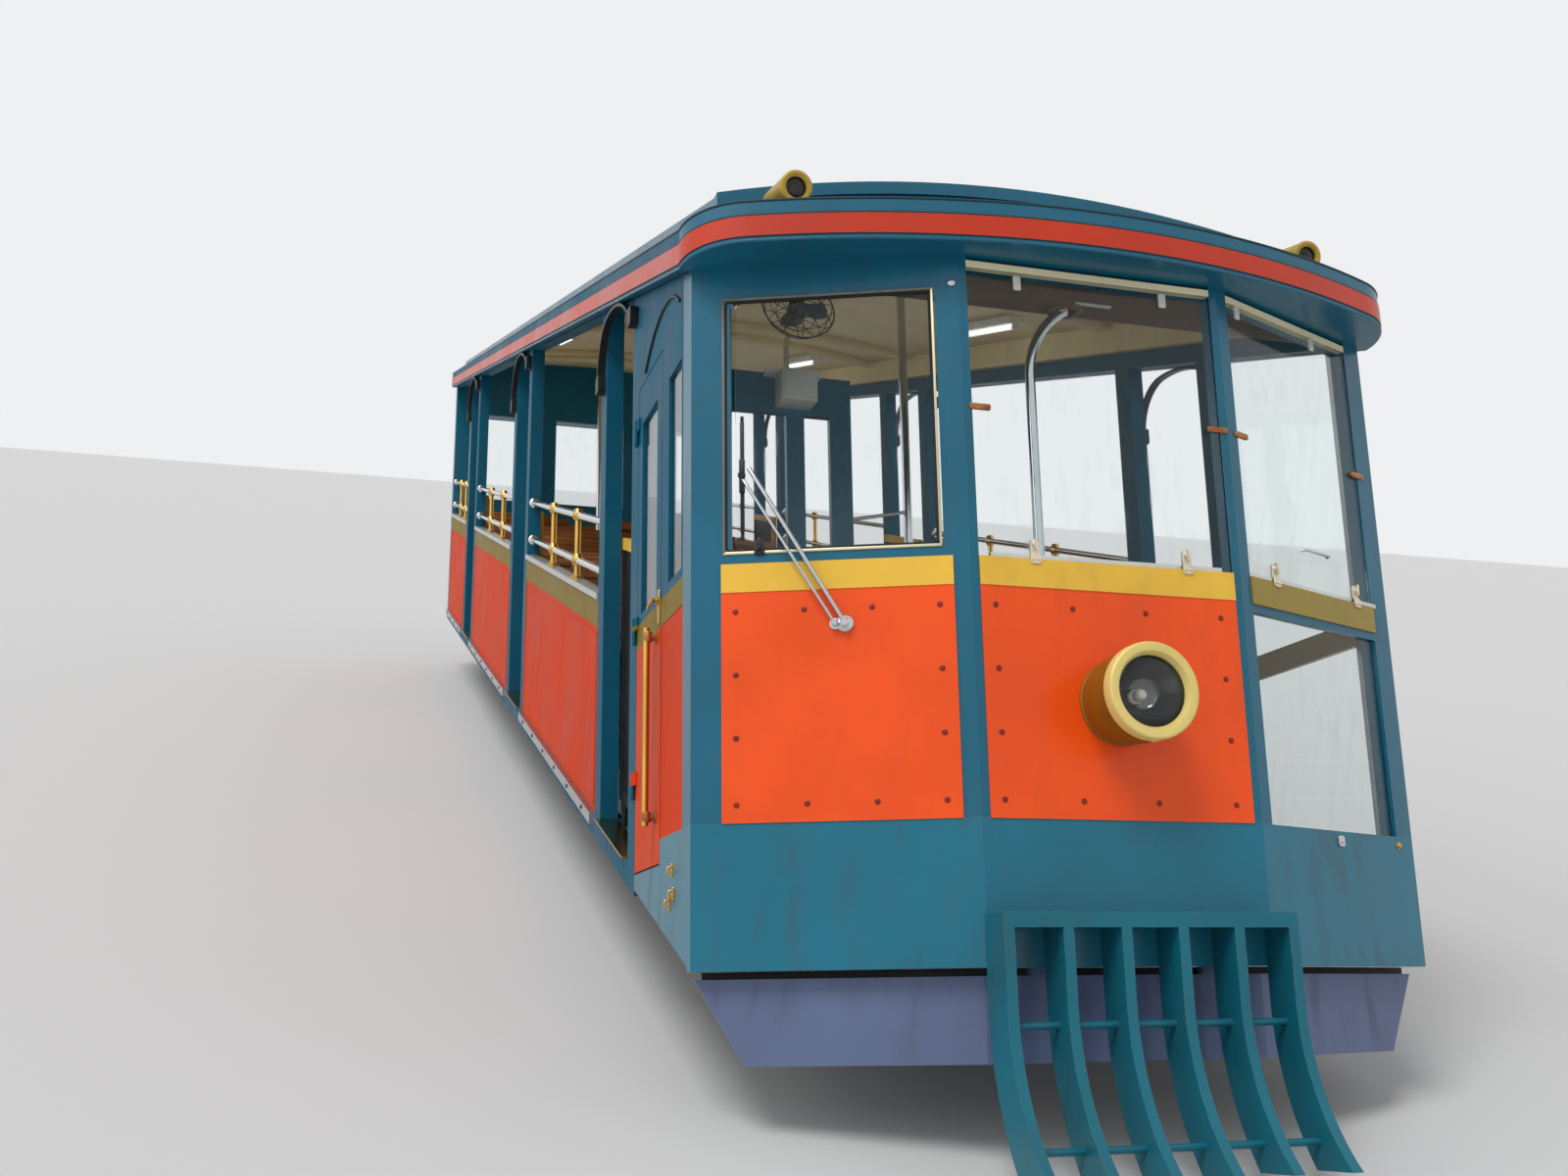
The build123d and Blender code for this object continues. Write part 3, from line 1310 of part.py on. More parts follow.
# share of the cove's height at which the wall proper ends
REAR_SHARE = (REAR_WALL_TOP - COVE_FOOT + COVE_WALL) / (RAIL_FOOT - COVE_FOOT + COVE_WALL)
with BuildPart() as rear_wall:
    with BuildSketch(side_plane(-HALF)):
        Polygon(*leaning(REAR_INNER, BODY_LENGTH, SOLE_TOP, REAR_WALL_TOP * COSINE), align=None)
    extrude(amount=BODY_WIDTH)
    with BuildSketch(section_plane(BODY_LENGTH)):
        with Locations(*REAR_PANES):
            Rectangle(*REAR_PANE_SIZE)
    extrude(amount=REAR_POST * 2, both=True, mode=Mode.SUBTRACT)
    # gable inside the roof's rear end
    with BuildSketch(section_plane(REAR_INNER)):
        with BuildLine():
            under = ROOF_HALF - ROOF_RAIL_WALL - SEAM
            wide = COVE_X - COVE_WALL - (COVE_X - ROOF_HALF) * REAR_SHARE - 2 * SEAM
            Polyline(
                (under, ROOF_EDGE - ROOF_WALL - SEAM),
                (under, RAIL_FOOT),
                (wide, REAR_WALL_TOP),
                (-wide, REAR_WALL_TOP),
                (-under, RAIL_FOOT),
                (-under, ROOF_EDGE - ROOF_WALL - SEAM),
            )
            crown_arc(under, ROOF_EDGE - ROOF_WALL - SEAM, ROOF_RISE)
        make_face()
    extrude(amount=REAR_POST, dir=UPHILL)
save(rear_wall, "rear_wall")

# Benches across the car, on each step of the bays

BENCH_OUTER = FLOOR_HALF - BENCH_END_GAP
LANDING_NOSES = [start + NOSE_LINE * SLOPE for start in DOOR_POSTS]
BENCH_TREADS = [tread for tread in TREADS[1:] if tread[0] not in LANDING_NOSES]
with BuildPart() as benches:
    for name, side in SIDES:
        for nose, next_nose in BENCH_TREADS:
            top, back = step_points(nose, next_nose)
            level = to_body(*top)[1]
            rear = to_body(*back)[0] - BACK_SETBACK
            seat = level + SEAT_HEIGHT
            with BuildSketch(lean_side_plane(side * AISLE_HALF)):
                with BuildLine():
                    Polyline(
                        (rear - SEAT_DEPTH, seat - SEAT_WALL),
                        (rear - SEAT_DEPTH, seat),
                        (rear - BACK_WALL, seat),
                        (rear - BACK_WALL, seat + BACK_HEIGHT),
                        (rear, seat + BACK_HEIGHT),
                        (rear, level),
                        (rear - LEG_WALL, level),
                        (rear - LEG_WALL, seat - SEAT_WALL),
                        close=True,
                    )
                make_face()
            extrude(amount=side * (BENCH_OUTER - AISLE_HALF))
save(benches, "benches")

# Grab poles at the landings, bent outward under the ceiling, and one at the front under the
# visor's soffit: place in plan, foot and top of the axis, radius and degrees of the bend

POLE_TOP = CEILING_EDGE + CEILING_RISE * (1 - (AISLE_HALF / CEILING_HALF) ** 2)
FRONT_POLE_TOP = FASCIA_FOOT - ROSE_SINK
POLES = [(*FRONT_POLE, CAB_FLOOR, FRONT_POLE_TOP, FRONT_POLE_BEND, FRONT_POLE_SWING)]
for start in DOOR_POSTS:
    pole_y, level = to_body(start + NOSE_LINE * SLOPE, NOSE_LINE)
    pole_y += POLE_FOOT
    top = POLE_TOP + pole_y * SLOPE + POLE_RADIUS
    if start == FIRST_POST:
        POLES.append((FIRST_POLE_X, pole_y, level, top, POLE_BEND, -POLE_SWING))
    else:
        POLES.append((-AISLE_HALF, pole_y, level, top, POLE_BEND, -POLE_SWING))
        POLES.append((AISLE_HALF, pole_y, level, top, POLE_BEND, POLE_SWING))

with BuildPart() as grab_poles:
    for x, y, level, top, bend, swing in POLES:
        outward = 1 if swing > 0 else -1
        lean = outward * bend * (1 - cos(radians(swing)))
        half_lean = outward * bend * (1 - cos(radians(swing / 2)))
        knee = top - bend * sin(radians(abs(swing)))
        half_rise = bend * sin(radians(abs(swing) / 2))
        with BuildLine(face_plane(y)) as path:
            Line((x, level), (x, knee))
            ThreePointArc((x, knee), (x + half_lean, knee + half_rise), (x + lean, top))
        with BuildSketch(BODY.offset(level)):
            with Locations((x, y)):
                Circle(POLE_RADIUS)
        sweep(path=path.line)
        with BuildSketch(BODY.offset(level)):
            with Locations((x, y)):
                Circle(POLE_BASE)
        extrude(amount=BASE_WALL)
    front_lean = FRONT_POLE_BEND * (1 - cos(radians(FRONT_POLE_SWING)))
    with BuildSketch(BODY.offset(FASCIA_FOOT)):
        with Locations((FRONT_POLE[0] + front_lean, FRONT_POLE[1])):
            Circle(ROSE_RADIUS)
    extrude(amount=-ROSE_WALL)
    # the tops end under the sloping ceiling
    with BuildSketch(section_plane(0)):
        with BuildLine():
            crown_arc(CEILING_HALF, CEILING_EDGE, CEILING_RISE)
            above = CEILING_EDGE + 2 * POLE_BEND
            Line((CEILING_HALF, CEILING_EDGE), (CEILING_HALF, above))
            Line((CEILING_HALF, above), (-CEILING_HALF, above))
            Line((-CEILING_HALF, above), (-CEILING_HALF, CEILING_EDGE))
        make_face()
    extrude(amount=CANT_RUN, dir=UPHILL, mode=Mode.SUBTRACT)
save(grab_poles, "grab_poles")

# Partition behind the driver, standing on the cab floor

PARTITION_START = PARTITION_GAP + FRAME_WALL - HALF
PARTITION_Y = to_body(DOOR_POSTS[0] + NOSE_LINE * SLOPE, NOSE_LINE)[0] - SEAM
with BuildPart() as cab_partition:
    with BuildSketch(face_plane(PARTITION_Y)):
        Polygon(*rect(PARTITION_START, PARTITION_END, CAB_FLOOR, PARTITION_TOP), align=None)
        for shares in PARTITION_LIGHTS:
            edges = [PARTITION_START + (PARTITION_END - PARTITION_START) * share for share in shares]
            Polygon(*rect(*edges, PARTITION_SILL, PARTITION_HEAD), align=None, mode=Mode.SUBTRACT)
    extrude(amount=PARTITION_WALL)
save(cab_partition, "cab_partition")

# Driver's desk

with BuildPart() as driver_desk:
    with BuildSketch(BODY.offset(CAB_FLOOR)):
        outer, fold = bow_line(SKIRT_WALL + DESK_GAP, DESK_SIDE)[:2]
        Polygon(
            outer,
            fold,
            (fold[0], fold[1] + DESK_DEPTH),
            (outer[0], outer[1] + DESK_DEPTH),
            align=None,
        )
    extrude(amount=DESK_HEIGHT)
save(driver_desk, "driver_desk")

# Running gear: two wheelsets with a double-flanged wheel and a wide plain roller

BOX_X = FRAME_OUTER
AXLE_HALF = BOX_X + GUARD_WALL + BOX_WIDTH - FLANGE_WALL
WHEEL_X = (GAUGE + TREAD_WIDTH) / 2


def half_wheel(rim_width, flange):
    """Half section of a wheel, across its middle plane and out from the axle's axis."""
    rim = rim_width / 2
    foot = TREAD_RADIUS - RIM_DEPTH
    edge = [(rim, TREAD_RADIUS)]
    if flange:
        crest = TREAD_RADIUS + FLANGE
        edge = [(rim + FLANGE_WIDTH, crest), (rim + FLANGE_WIDTH / 2, crest), *edge]
    rim_edge = rim + FLANGE_WIDTH if flange else rim
    right = [
        (HUB_WIDTH / 2, 0),
        (HUB_WIDTH / 2, HUB_RADIUS),
        (DISC_WALL, HUB_RADIUS),
        (DISC_WALL / 2, HUB_RADIUS + DISC_WALL),
        (DISC_WALL / 2, foot - DISC_WALL / 2),
        (DISC_WALL, foot),
        (rim_edge, foot),
        *edge,
    ]
    return right + [(-across, out) for across, out in right[::-1]]


for name, along in zip(("front", "rear"), AXLES):
    wheel_axis = Axis((0, FRONT_Y + along, AXLE_Z), (1, 0, 0))
    with BuildPart() as wheelset:
        for radius, half in ((AXLE_RADIUS, FRAME_INNER - AXLE_SHORT), (JOURNAL_RADIUS, AXLE_HALF)):
            with BuildSketch(Plane.YZ.offset(-half)):
                with Locations((FRONT_Y + along, AXLE_Z)):
                    Circle(radius)
            extrude(amount=2 * half)
        for centre, width, flange in ((-WHEEL_X, TREAD_WIDTH, True), (WHEEL_X, ROLLER_WIDTH, False)):
            with BuildSketch(Plane(origin=(centre, FRONT_Y + along, AXLE_Z))):
                Polygon(*half_wheel(width, flange), align=None)
            revolve(axis=wheel_axis)
    save(wheelset, f"wheelset_{name}")

# Axle guards on the sills, boxes between their jaws, and leaf springs over the boxes

BOX_TOP = AXLE_Z + BOX_SIZE / 2
GUARD_BOTTOM = AXLE_Z - BOX_SIZE / 2 - GUARD_DROP
with BuildPart() as axle_guards:
    for along in AXLES:
        y = FRONT_Y + along
        for side in (-1, 1):
            with BuildSketch(Plane.YZ.offset(side * BOX_X)):
                Polygon(
                    (y - GUARD_TOP / 2, FRAME_Z - FLANGE_WALL),
                    (y + GUARD_TOP / 2, FRAME_Z - FLANGE_WALL),
                    (y + GUARD_TOP / 2, FRAME_FOOT),
                    (y + GUARD_FOOT / 2, GUARD_BOTTOM),
                    (y - GUARD_FOOT / 2, GUARD_BOTTOM),
                    (y - GUARD_TOP / 2, FRAME_FOOT),
                    align=None,
                )
                Polygon(
                    *rect(y - BOX_SIZE / 2, y + BOX_SIZE / 2, AXLE_Z - BOX_SIZE / 2, BOX_TOP),
                    align=None,
                    mode=Mode.SUBTRACT,
                )
            extrude(amount=side * GUARD_WALL)
save(axle_guards, "axle_guards")

with BuildPart() as axle_boxes:
    for along in AXLES:
        y = FRONT_Y + along
        for side in (-1, 1):
            for x, size, width in (
                (BOX_X, BOX_SIZE, GUARD_WALL),
                (BOX_X + GUARD_WALL, BOX_SIZE + 2 * BOX_LIP, BOX_WIDTH - BOX_LIP),
            ):
                with BuildSketch(Plane.YZ.offset(side * x)):
                    with Locations((y, BOX_TOP - BOX_SIZE / 2)):
                        Rectangle(size, BOX_SIZE)
                extrude(amount=side * width)
            with BuildSketch(Plane.YZ.offset(side * (BOX_X + GUARD_WALL + BOX_WIDTH - BOX_LIP))):
                with Locations((y, AXLE_Z)):
                    Circle(BOX_COVER)
            extrude(amount=side * BOX_LIP)
            with BuildSketch(Plane.YZ.offset(side * BOX_X)):
                with Locations((y, AXLE_Z)):
                    Circle(JOURNAL_RADIUS + JOURNAL_GAP)
            extrude(amount=side * (AXLE_HALF + JOURNAL_GAP - BOX_X), mode=Mode.SUBTRACT)
save(axle_boxes, "axle_boxes")

SPRING_X = BOX_X + GUARD_WALL + (BOX_WIDTH - BOX_LIP - SPRING_WIDTH) / 2
PACK = SPRING_LEAVES * SPRING_LEAF
HANGER_TOP = FRAME_Z - HANGER_DROP
EYE_TURN = SPRING_LENGTH / 2 / SPRING_RADIUS
with BuildPart() as springs:
    for along in AXLES:
        y = FRONT_Y + along
        # centre of the leaves' curve
        curve_z = BOX_TOP + FLANGE_WALL + PACK + SPRING_RADIUS
        for side in (-1, 1):
            with BuildSketch(Plane.YZ.offset(side * SPRING_X)):
                for leaf in range(SPRING_LEAVES):
                    turn = EYE_TURN * (1 - leaf * SPRING_STEP)
                    radius = SPRING_RADIUS + (leaf + 0.5) * SPRING_LEAF
                    with BuildLine():
                        ThreePointArc(
                            (y - radius * sin(turn), curve_z - radius * cos(turn)),
                            (y, curve_z - radius),
                            (y + radius * sin(turn), curve_z - radius * cos(turn)),
                        )
                    trace(line_width=SPRING_LEAF + SPRING_LAP)
                # buckle on the box
                with Locations((y, BOX_TOP + (PACK + 2 * FLANGE_WALL) / 2)):
                    Rectangle(BUCKLE_WIDTH, PACK + 2 * FLANGE_WALL)
                # eyes, and hangers up to the outriggers' level
                eye_z = curve_z - (SPRING_RADIUS + SPRING_LEAF / 2) * cos(EYE_TURN)
                eye_y = (SPRING_RADIUS + SPRING_LEAF / 2) * sin(EYE_TURN)
                for eye in (y - eye_y, y + eye_y):
                    with Locations((eye, eye_z)):
                        Circle(EYE_RADIUS)
                    edges = (eye - HANGER_WIDTH / 2, eye + HANGER_WIDTH / 2)
                    Polygon(*rect(*edges, eye_z, HANGER_TOP), align=None)
            extrude(amount=side * SPRING_WIDTH)
            # brackets that carry the hangers on the sill's web
            with BuildSketch(Plane.YZ.offset(side * BOX_X)):
                for end in (-1, 1):
                    Polygon(
                        *rect(
                            y + end * eye_y - HANGER_WIDTH,
                            y + end * eye_y + HANGER_WIDTH,
                            HANGER_TOP,
                            FRAME_Z - FLANGE_WALL,
                        ),
                        align=None,
                    )
            extrude(amount=side * (SPRING_X + SPRING_WIDTH - BOX_X))
save(springs, "springs")

# Tow bar with a rope pin bore at the uphill end

TOW_Z = FRAME_Z - FRAME_DEPTH / 2
TOW_Y = FRONT_Y + FRAME_END
with BuildPart() as tow_bar:
    with BuildSketch(Plane.YZ.offset(-TOW_WALL / 2)):
        with Locations((TOW_Y + TOW_REACH, TOW_Z)):
            Circle(TOW_RADIUS)
        Polygon(*rect(TOW_Y, TOW_Y + TOW_REACH, TOW_Z - TOW_HALF, TOW_Z + TOW_HALF), align=None)
        with Locations((TOW_Y + TOW_REACH, TOW_Z)):
            Circle(TOW_BORE, mode=Mode.SUBTRACT)
    extrude(amount=TOW_WALL)
    # draft plate across the sills' ends
    with BuildSketch(Plane.XZ.offset(-TOW_Y)):
        Polygon(*rect(-FRAME_OUTER, FRAME_OUTER, FRAME_FOOT, FRAME_Z), align=None)
    extrude(amount=-FLANGE_WALL)
save(tow_bar, "tow_bar")
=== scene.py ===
"""Open observation car of an inclined railway: finishes, detail pieces, light and camera.

Every piece is modelled in one of the car's own working frames (the leaning body, a facet of the
bowed front, a side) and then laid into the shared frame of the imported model, in metres.
"""

import logging
import math
from contextlib import contextmanager
from dataclasses import dataclass, field
from enum import Enum
from typing import Callable, Iterable, Iterator, Sequence

import bpy
from mathutils import Matrix, Vector

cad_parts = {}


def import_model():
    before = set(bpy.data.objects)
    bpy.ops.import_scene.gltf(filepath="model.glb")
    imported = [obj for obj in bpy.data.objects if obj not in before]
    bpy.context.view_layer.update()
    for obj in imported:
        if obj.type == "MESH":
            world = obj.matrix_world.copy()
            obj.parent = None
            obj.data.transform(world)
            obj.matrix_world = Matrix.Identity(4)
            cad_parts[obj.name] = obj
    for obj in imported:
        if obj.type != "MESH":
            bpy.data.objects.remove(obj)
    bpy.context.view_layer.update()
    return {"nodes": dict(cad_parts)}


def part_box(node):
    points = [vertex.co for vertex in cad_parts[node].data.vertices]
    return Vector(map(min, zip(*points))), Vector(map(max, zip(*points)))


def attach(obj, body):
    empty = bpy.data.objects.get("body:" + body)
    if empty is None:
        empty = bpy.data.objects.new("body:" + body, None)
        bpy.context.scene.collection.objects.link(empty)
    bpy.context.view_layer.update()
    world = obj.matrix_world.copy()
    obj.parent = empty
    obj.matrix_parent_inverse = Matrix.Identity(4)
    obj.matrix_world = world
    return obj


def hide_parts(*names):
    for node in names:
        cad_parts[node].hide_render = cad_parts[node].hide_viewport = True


LOG = logging.getLogger("funicular")

Rgb = tuple[float, float, float]
Point = tuple[float, float, float]
Pair = tuple[float, float]
Piece = bpy.types.Object
Node = bpy.types.Node
Tree = bpy.types.NodeTree
Socket = bpy.types.NodeSocket

# The leaning body: its slope, and the foot of its front corners in the shared frame
LEAN_DEGREES = 19.1
LEAN = math.radians(LEAN_DEGREES)
SLOPE = math.tan(LEAN)
FRONT_Y = -5.145543
SKIRT_Z = 0.455

# The front in plan: half the body's width, half the centre facet and the depth of the bow
HALF = 1.25
FOLD_X = 0.463
BOW = 0.329

# Along the track from the front corners: the first doorway, the module that repeats and the rear wall
POST_TRACK = 0.890
POST_WIDTH = 0.130
DOOR_PITCH = 0.730
MODULE = 3.360
DOORWAYS = 3
REAR_INNER = 10.100

RAIL_X = 1.215
CAR_BODY = "car_body"

# Modelling: vertices closer than this are one, and the angles in degrees that are bevelled or smoothed
WELD = 1e-6
BEVEL_LIMIT = 35
SMOOTH = 32
TUBE_SMOOTH = 50


def srgb(red: int, green: int, blue: int) -> Rgb:
    """Turn a display colour of 0 to 255 into a linear one.

    Args:
        red: red part, 0 to 255.
        green: green part, 0 to 255.
        blue: blue part, 0 to 255.

    Returns:
        The linear colour.
    """

    def linear(value: int) -> float:
        share = value / 255
        return share / 12.92 if share <= 0.04045 else ((share + 0.055) / 1.055) ** 2.4

    return linear(red), linear(green), linear(blue)


# ---------------------------------------------------------------- working frames


def at(x: float, y: float, z: float = 0.0) -> Matrix:
    """Move to a point of the working frame."""
    return Matrix.Translation((x, y, z))


def spin(degrees: float, axis: str) -> Matrix:
    """Turn about an axis of the working frame."""
    return Matrix.Rotation(math.radians(degrees), 4, axis)


def body_frame() -> Matrix:
    """Frame of the leaning body: X across, Y back from the front corners, Z up the posts."""
    return at(0, FRONT_Y, SKIRT_Z) @ spin(-LEAN_DEGREES, "X")


class Facet(Enum):
    """The three facets of the bowed front, by their start and end in plan."""

    LEFT = ((-HALF, 0.0), (-FOLD_X, -BOW))
    CENTRE = ((-FOLD_X, -BOW), (FOLD_X, -BOW))
    RIGHT = ((FOLD_X, -BOW), (HALF, 0.0))

    @property
    def width(self) -> float:
        """Length of the facet in plan."""
        (x0, y0), (x1, y1) = self.value
        return math.hypot(x1 - x0, y1 - y0)

    def frame(self) -> Matrix:
        """Frame on the facet: X along it, Y up the posts, Z out of the front.

        Returns:
            The frame, at the foot of the facet's start.
        """
        (x0, y0), (x1, y1) = self.value
        along = Vector((x1 - x0, y1 - y0, 0)).normalized()
        outward = Vector((along.y, -along.x, 0))
        turn = Matrix((along, (0, 0, 1), outward)).transposed().to_4x4()
        return body_frame() @ at(x0, y0, 0) @ turn


class Side(Enum):
    """The two long sides of the car."""

    LEFT = -1
    RIGHT = 1

    def outward(self, inset: float) -> Matrix:
        """Turn a frame to a side's face: X back, Y up, Z outwards, mirrored on the left."""
        turn = Matrix(((0, 1, 0), (0, 0, 1), (self.value, 0, 0))).transposed().to_4x4()
        return at(self.value * (HALF - inset), 0) @ turn

    def lean_frame(self, inset: float = 0.0) -> Matrix:
        """Frame on a side in the body's axes, at a distance inside the side's face."""
        return body_frame() @ self.outward(inset)

    def track_frame(self, inset: float = 0.0) -> Matrix:
        """Frame on a side in track axes, with X uphill and Y square to the track."""
        return at(0, FRONT_Y, SKIRT_Z) @ self.outward(inset)


# Turns a plate that is drawn back and up, so that it is extruded across the car
ACROSS = Matrix(((0, 0, 1, 0), (1, 0, 0, 0), (0, 1, 0, 0), (0, 0, 0, 1)))


def to_body(along: float, height: float) -> Pair:
    """Change a point of a side from track axes to the leaning body's axes.

    Args:
        along: distance uphill from the front corners.
        height: distance square to the track.

    Returns:
        Distance back and height up the posts.
    """
    return (
        along * math.cos(LEAN) - height * math.sin(LEAN),
        along * math.sin(LEAN) + height * math.cos(LEAN),
    )


# ---------------------------------------------------------------- modelling


class Shop:
    """The bench at which pieces are modelled, one selected object at a time."""

    @staticmethod
    def clear() -> None:
        """Deselect every object."""
        bpy.ops.object.select_all(action="DESELECT")

    @staticmethod
    def only(obj: Piece) -> Piece:
        """Select one object alone and make it active.

        Args:
            obj: the object.

        Returns:
            The same object.
        """
        Shop.clear()
        obj.select_set(True)
        bpy.context.view_layer.objects.active = obj
        return obj

    @staticmethod
    def link(name: str, data: bpy.types.ID) -> Piece:
        """Bring new data into the scene as the one selected object.

        Args:
            name: name of the object.
            data: its mesh or curve.

        Returns:
            The new object.
        """
        obj = bpy.data.objects.new(name, data)
        bpy.context.collection.objects.link(obj)
        return Shop.only(obj)

    @staticmethod
    @contextmanager
    def editing() -> Iterator[None]:
        """Edit the whole of the active mesh, and turn its faces outwards at the end.

        Yields:
            Control to the edit, and back after it.
        """
        bpy.ops.object.mode_set(mode="EDIT")
        bpy.ops.mesh.select_all(action="SELECT")
        yield
        bpy.ops.mesh.select_all(action="SELECT")
        bpy.ops.mesh.normals_make_consistent(inside=False)
        bpy.ops.object.mode_set(mode="OBJECT")

    @staticmethod
    def name(obj: Piece, name: str) -> Piece:
        """Name an object and its mesh alike.

        Args:
            obj: the object.
            name: their new name.

        Returns:
            The same object.
        """
        obj.name = name
        obj.data.name = name
        return obj

    @staticmethod
    def box(name: str, low: Point, high: Point, bevel: float = 0.0, segments: int = 2) -> Piece:
        """Model a rounded bar or plate between two corners.

        Args:
            name: name of the piece.
            low: lowest corner, in the working frame.
            high: highest corner, in the working frame.
            bevel: radius of its edges, none if 0.
            segments: faces round each edge.

        Returns:
            The new object, with its place in its mesh.
        """
        Shop.clear()
        middle = [(a + b) / 2 for a, b in zip(low, high)]
        size = [b - a for a, b in zip(low, high)]
        bpy.ops.mesh.primitive_cube_add(size=1, location=middle, scale=size)
        obj = Shop.apply(Shop.name(bpy.context.object, name))
        return Shop.bevel(obj, bevel, segments) if bevel else obj

    @staticmethod
    def apply(obj: Piece) -> Piece:
        """Put an object's place, turn and scale into its mesh.

        Args:
            obj: the object.

        Returns:
            The same object.
        """
        Shop.only(obj)
        bpy.ops.object.transform_apply(location=True, rotation=True, scale=True)
        return obj

    @staticmethod
    def bevel(obj: Piece, width: float, segments: int = 2) -> Piece:
        """Round an object's sharp edges with a bevel modifier.

        Args:
            obj: the object.
            width: radius of the edges.
            segments: faces round each edge.

        Returns:
            The same object, shaded smooth.
        """
        Shop.only(obj)
        modifier = obj.modifiers.new("edges", "BEVEL")
        modifier.width = width
        modifier.segments = segments
        modifier.limit_method = "ANGLE"
        modifier.angle_limit = math.radians(BEVEL_LIMIT)
        bpy.ops.object.modifier_apply(modifier=modifier.name)
        return Shop.smooth(obj)

    @staticmethod
    def smooth(obj: Piece, angle: float = SMOOTH) -> Piece:
        """Shade an object smooth across edges flatter than an angle in degrees.

        Args:
            obj: the object.
            angle: greatest angle of a smooth edge, in degrees.

        Returns:
            The same object.
        """
        Shop.only(obj)
        bpy.ops.object.shade_smooth_by_angle(angle=math.radians(angle))
        return obj

    @staticmethod
    def plate(name: str, outline: Sequence[Pair], low: float, high: float, bevel: float = 0.0) -> Piece:
        """Model a flat plate of any outline, extruded along the working frame's Z.

        Args:
            name: name of the piece.
            outline: corners of the plate in X and Y, in order.
            low: lower face in Z.
            high: upper face in Z.
            bevel: radius of its edges, none if 0.

        Returns:
            The new object.
        """
        mesh = bpy.data.meshes.new(name)
        mesh.from_pydata([(x, y, low) for x, y in outline], [], [list(range(len(outline)))])
        obj = Shop.link(name, mesh)
        with Shop.editing():
            bpy.ops.mesh.extrude_region_move(TRANSFORM_OT_translate={"value": (0, 0, high - low)})
        return Shop.bevel(obj, bevel) if bevel else obj

    @staticmethod
    def turned(name: str, profile: Sequence[Pair], steps: int = 24) -> Piece:
        """Turn a profile about the working frame's Z, as on a lathe.

        Args:
            name: name of the piece.
            profile: radius and height of each point, from the axis and back to it.
            steps: faces round the piece.

        Returns:
            The closed, turned object.
        """
        mesh = bpy.data.meshes.new(name)
        points = [(radius, 0, height) for radius, height in profile]
        mesh.from_pydata(points, [(i, i + 1) for i in range(len(points) - 1)], [])
        obj = Shop.link(name, mesh)
        with Shop.editing():
            bpy.ops.mesh.spin(steps=steps, angle=2 * math.pi, center=(0, 0, 0), axis=(0, 0, 1))
            bpy.ops.mesh.select_all(action="SELECT")
            bpy.ops.mesh.remove_doubles(threshold=WELD)
        return Shop.smooth(obj)

    @staticmethod
    def tube(name: str, path: Sequence[Point], radius: float, smooth_path: bool = False,
             closed: bool = False, sides: int = 4) -> Piece:
        """Bend a round bar or tube along a path.

        Args:
            name: name of the piece.
            path: points of its centre line.
            radius: half its thickness.
            smooth_path: True for a curve through the points, False for straight runs.
            closed: True for a ring.
            sides: quarter faces round the bar.

        Returns:
            The bar as a mesh.
        """
        curve = bpy.data.curves.new(name, "CURVE")
        curve.dimensions = "3D"
        curve.bevel_depth = radius
        curve.bevel_resolution = sides
        curve.use_fill_caps = True
        curve.resolution_u = 8 if smooth_path else 1
        if smooth_path:
            spline = curve.splines.new("BEZIER")
            spline.bezier_points.add(len(path) - 1)
            for point, place in zip(spline.bezier_points, path):
                point.co = place
                point.handle_left_type = point.handle_right_type = "AUTO"
        else:
            spline = curve.splines.new("POLY")
            spline.points.add(len(path) - 1)
            for point, place in zip(spline.points, path):
                point.co = (*place, 1)
        spline.use_cyclic_u = closed
        Shop.link(name, curve)
        bpy.ops.object.convert(target="MESH")
        obj = Shop.name(bpy.context.object, name)
        with Shop.editing():
            bpy.ops.mesh.remove_doubles(threshold=WELD)
        return Shop.smooth(obj, TUBE_SMOOTH)

    @staticmethod
    def lay(obj: Piece, place: Matrix) -> Piece:
        """Move a mesh from its working frame into another, keeping its faces outwards.

        Args:
            obj: the object.
            place: the working frame, in the axes of the other.

        Returns:
            The same object.
        """
        obj.data.transform(place)
        if place.determinant() < 0:
            obj.data.flip_normals()
        return obj

    @staticmethod
    def join(name: str, parts: Sequence[Piece]) -> Piece:
        """Join several objects into one piece.

        Args:
            name: name of the piece.
            parts: the objects, the first of which takes in the others.

        Returns:
            The piece.
        """
        Shop.clear()
        for part in parts:
            part.select_set(True)
        bpy.context.view_layer.objects.active = parts[0]
        if len(parts) > 1:
            bpy.ops.object.join()
        return Shop.name(bpy.context.object, name)

    @staticmethod
    def repeat(name: str, pattern: Piece, places: Iterable[Matrix]) -> Piece:
        """Copy a modelled pattern to many places, each copy with its own mesh, as one piece.

        Args:
            name: name of the piece.
            pattern: the modelled pattern, used up by the call.
            places: frame of each copy.

        Returns:
            The joined piece.
        """
        copies = []
        for place in places:
            copy = bpy.data.objects.new(name, pattern.data.copy())
            bpy.context.collection.objects.link(copy)
            copies.append(Shop.lay(copy, place))
        bpy.data.objects.remove(pattern)
        return Shop.join(name, copies)


# ---------------------------------------------------------------- shader groups


def set_inputs(node: Node, values: dict[str, object]) -> Node:
    """Give a node's own sockets their values, by label.

    Args:
        node: the node.
        values: value of each socket by its label.

    Returns:
        The same node.
    """
    for label, value in values.items():
        node.inputs[label].default_value = value
    return node


def new_material(name: str) -> tuple[bpy.types.Material, Node]:
    """Make a material with one main shader.

    Args:
        name: name of the material.

    Returns:
        The material and its shader.
    """
    material = bpy.data.materials.new(name)
    material.use_nodes = True
    return material, next(node for node in material.node_tree.nodes if node.type == "BSDF_PRINCIPLED")


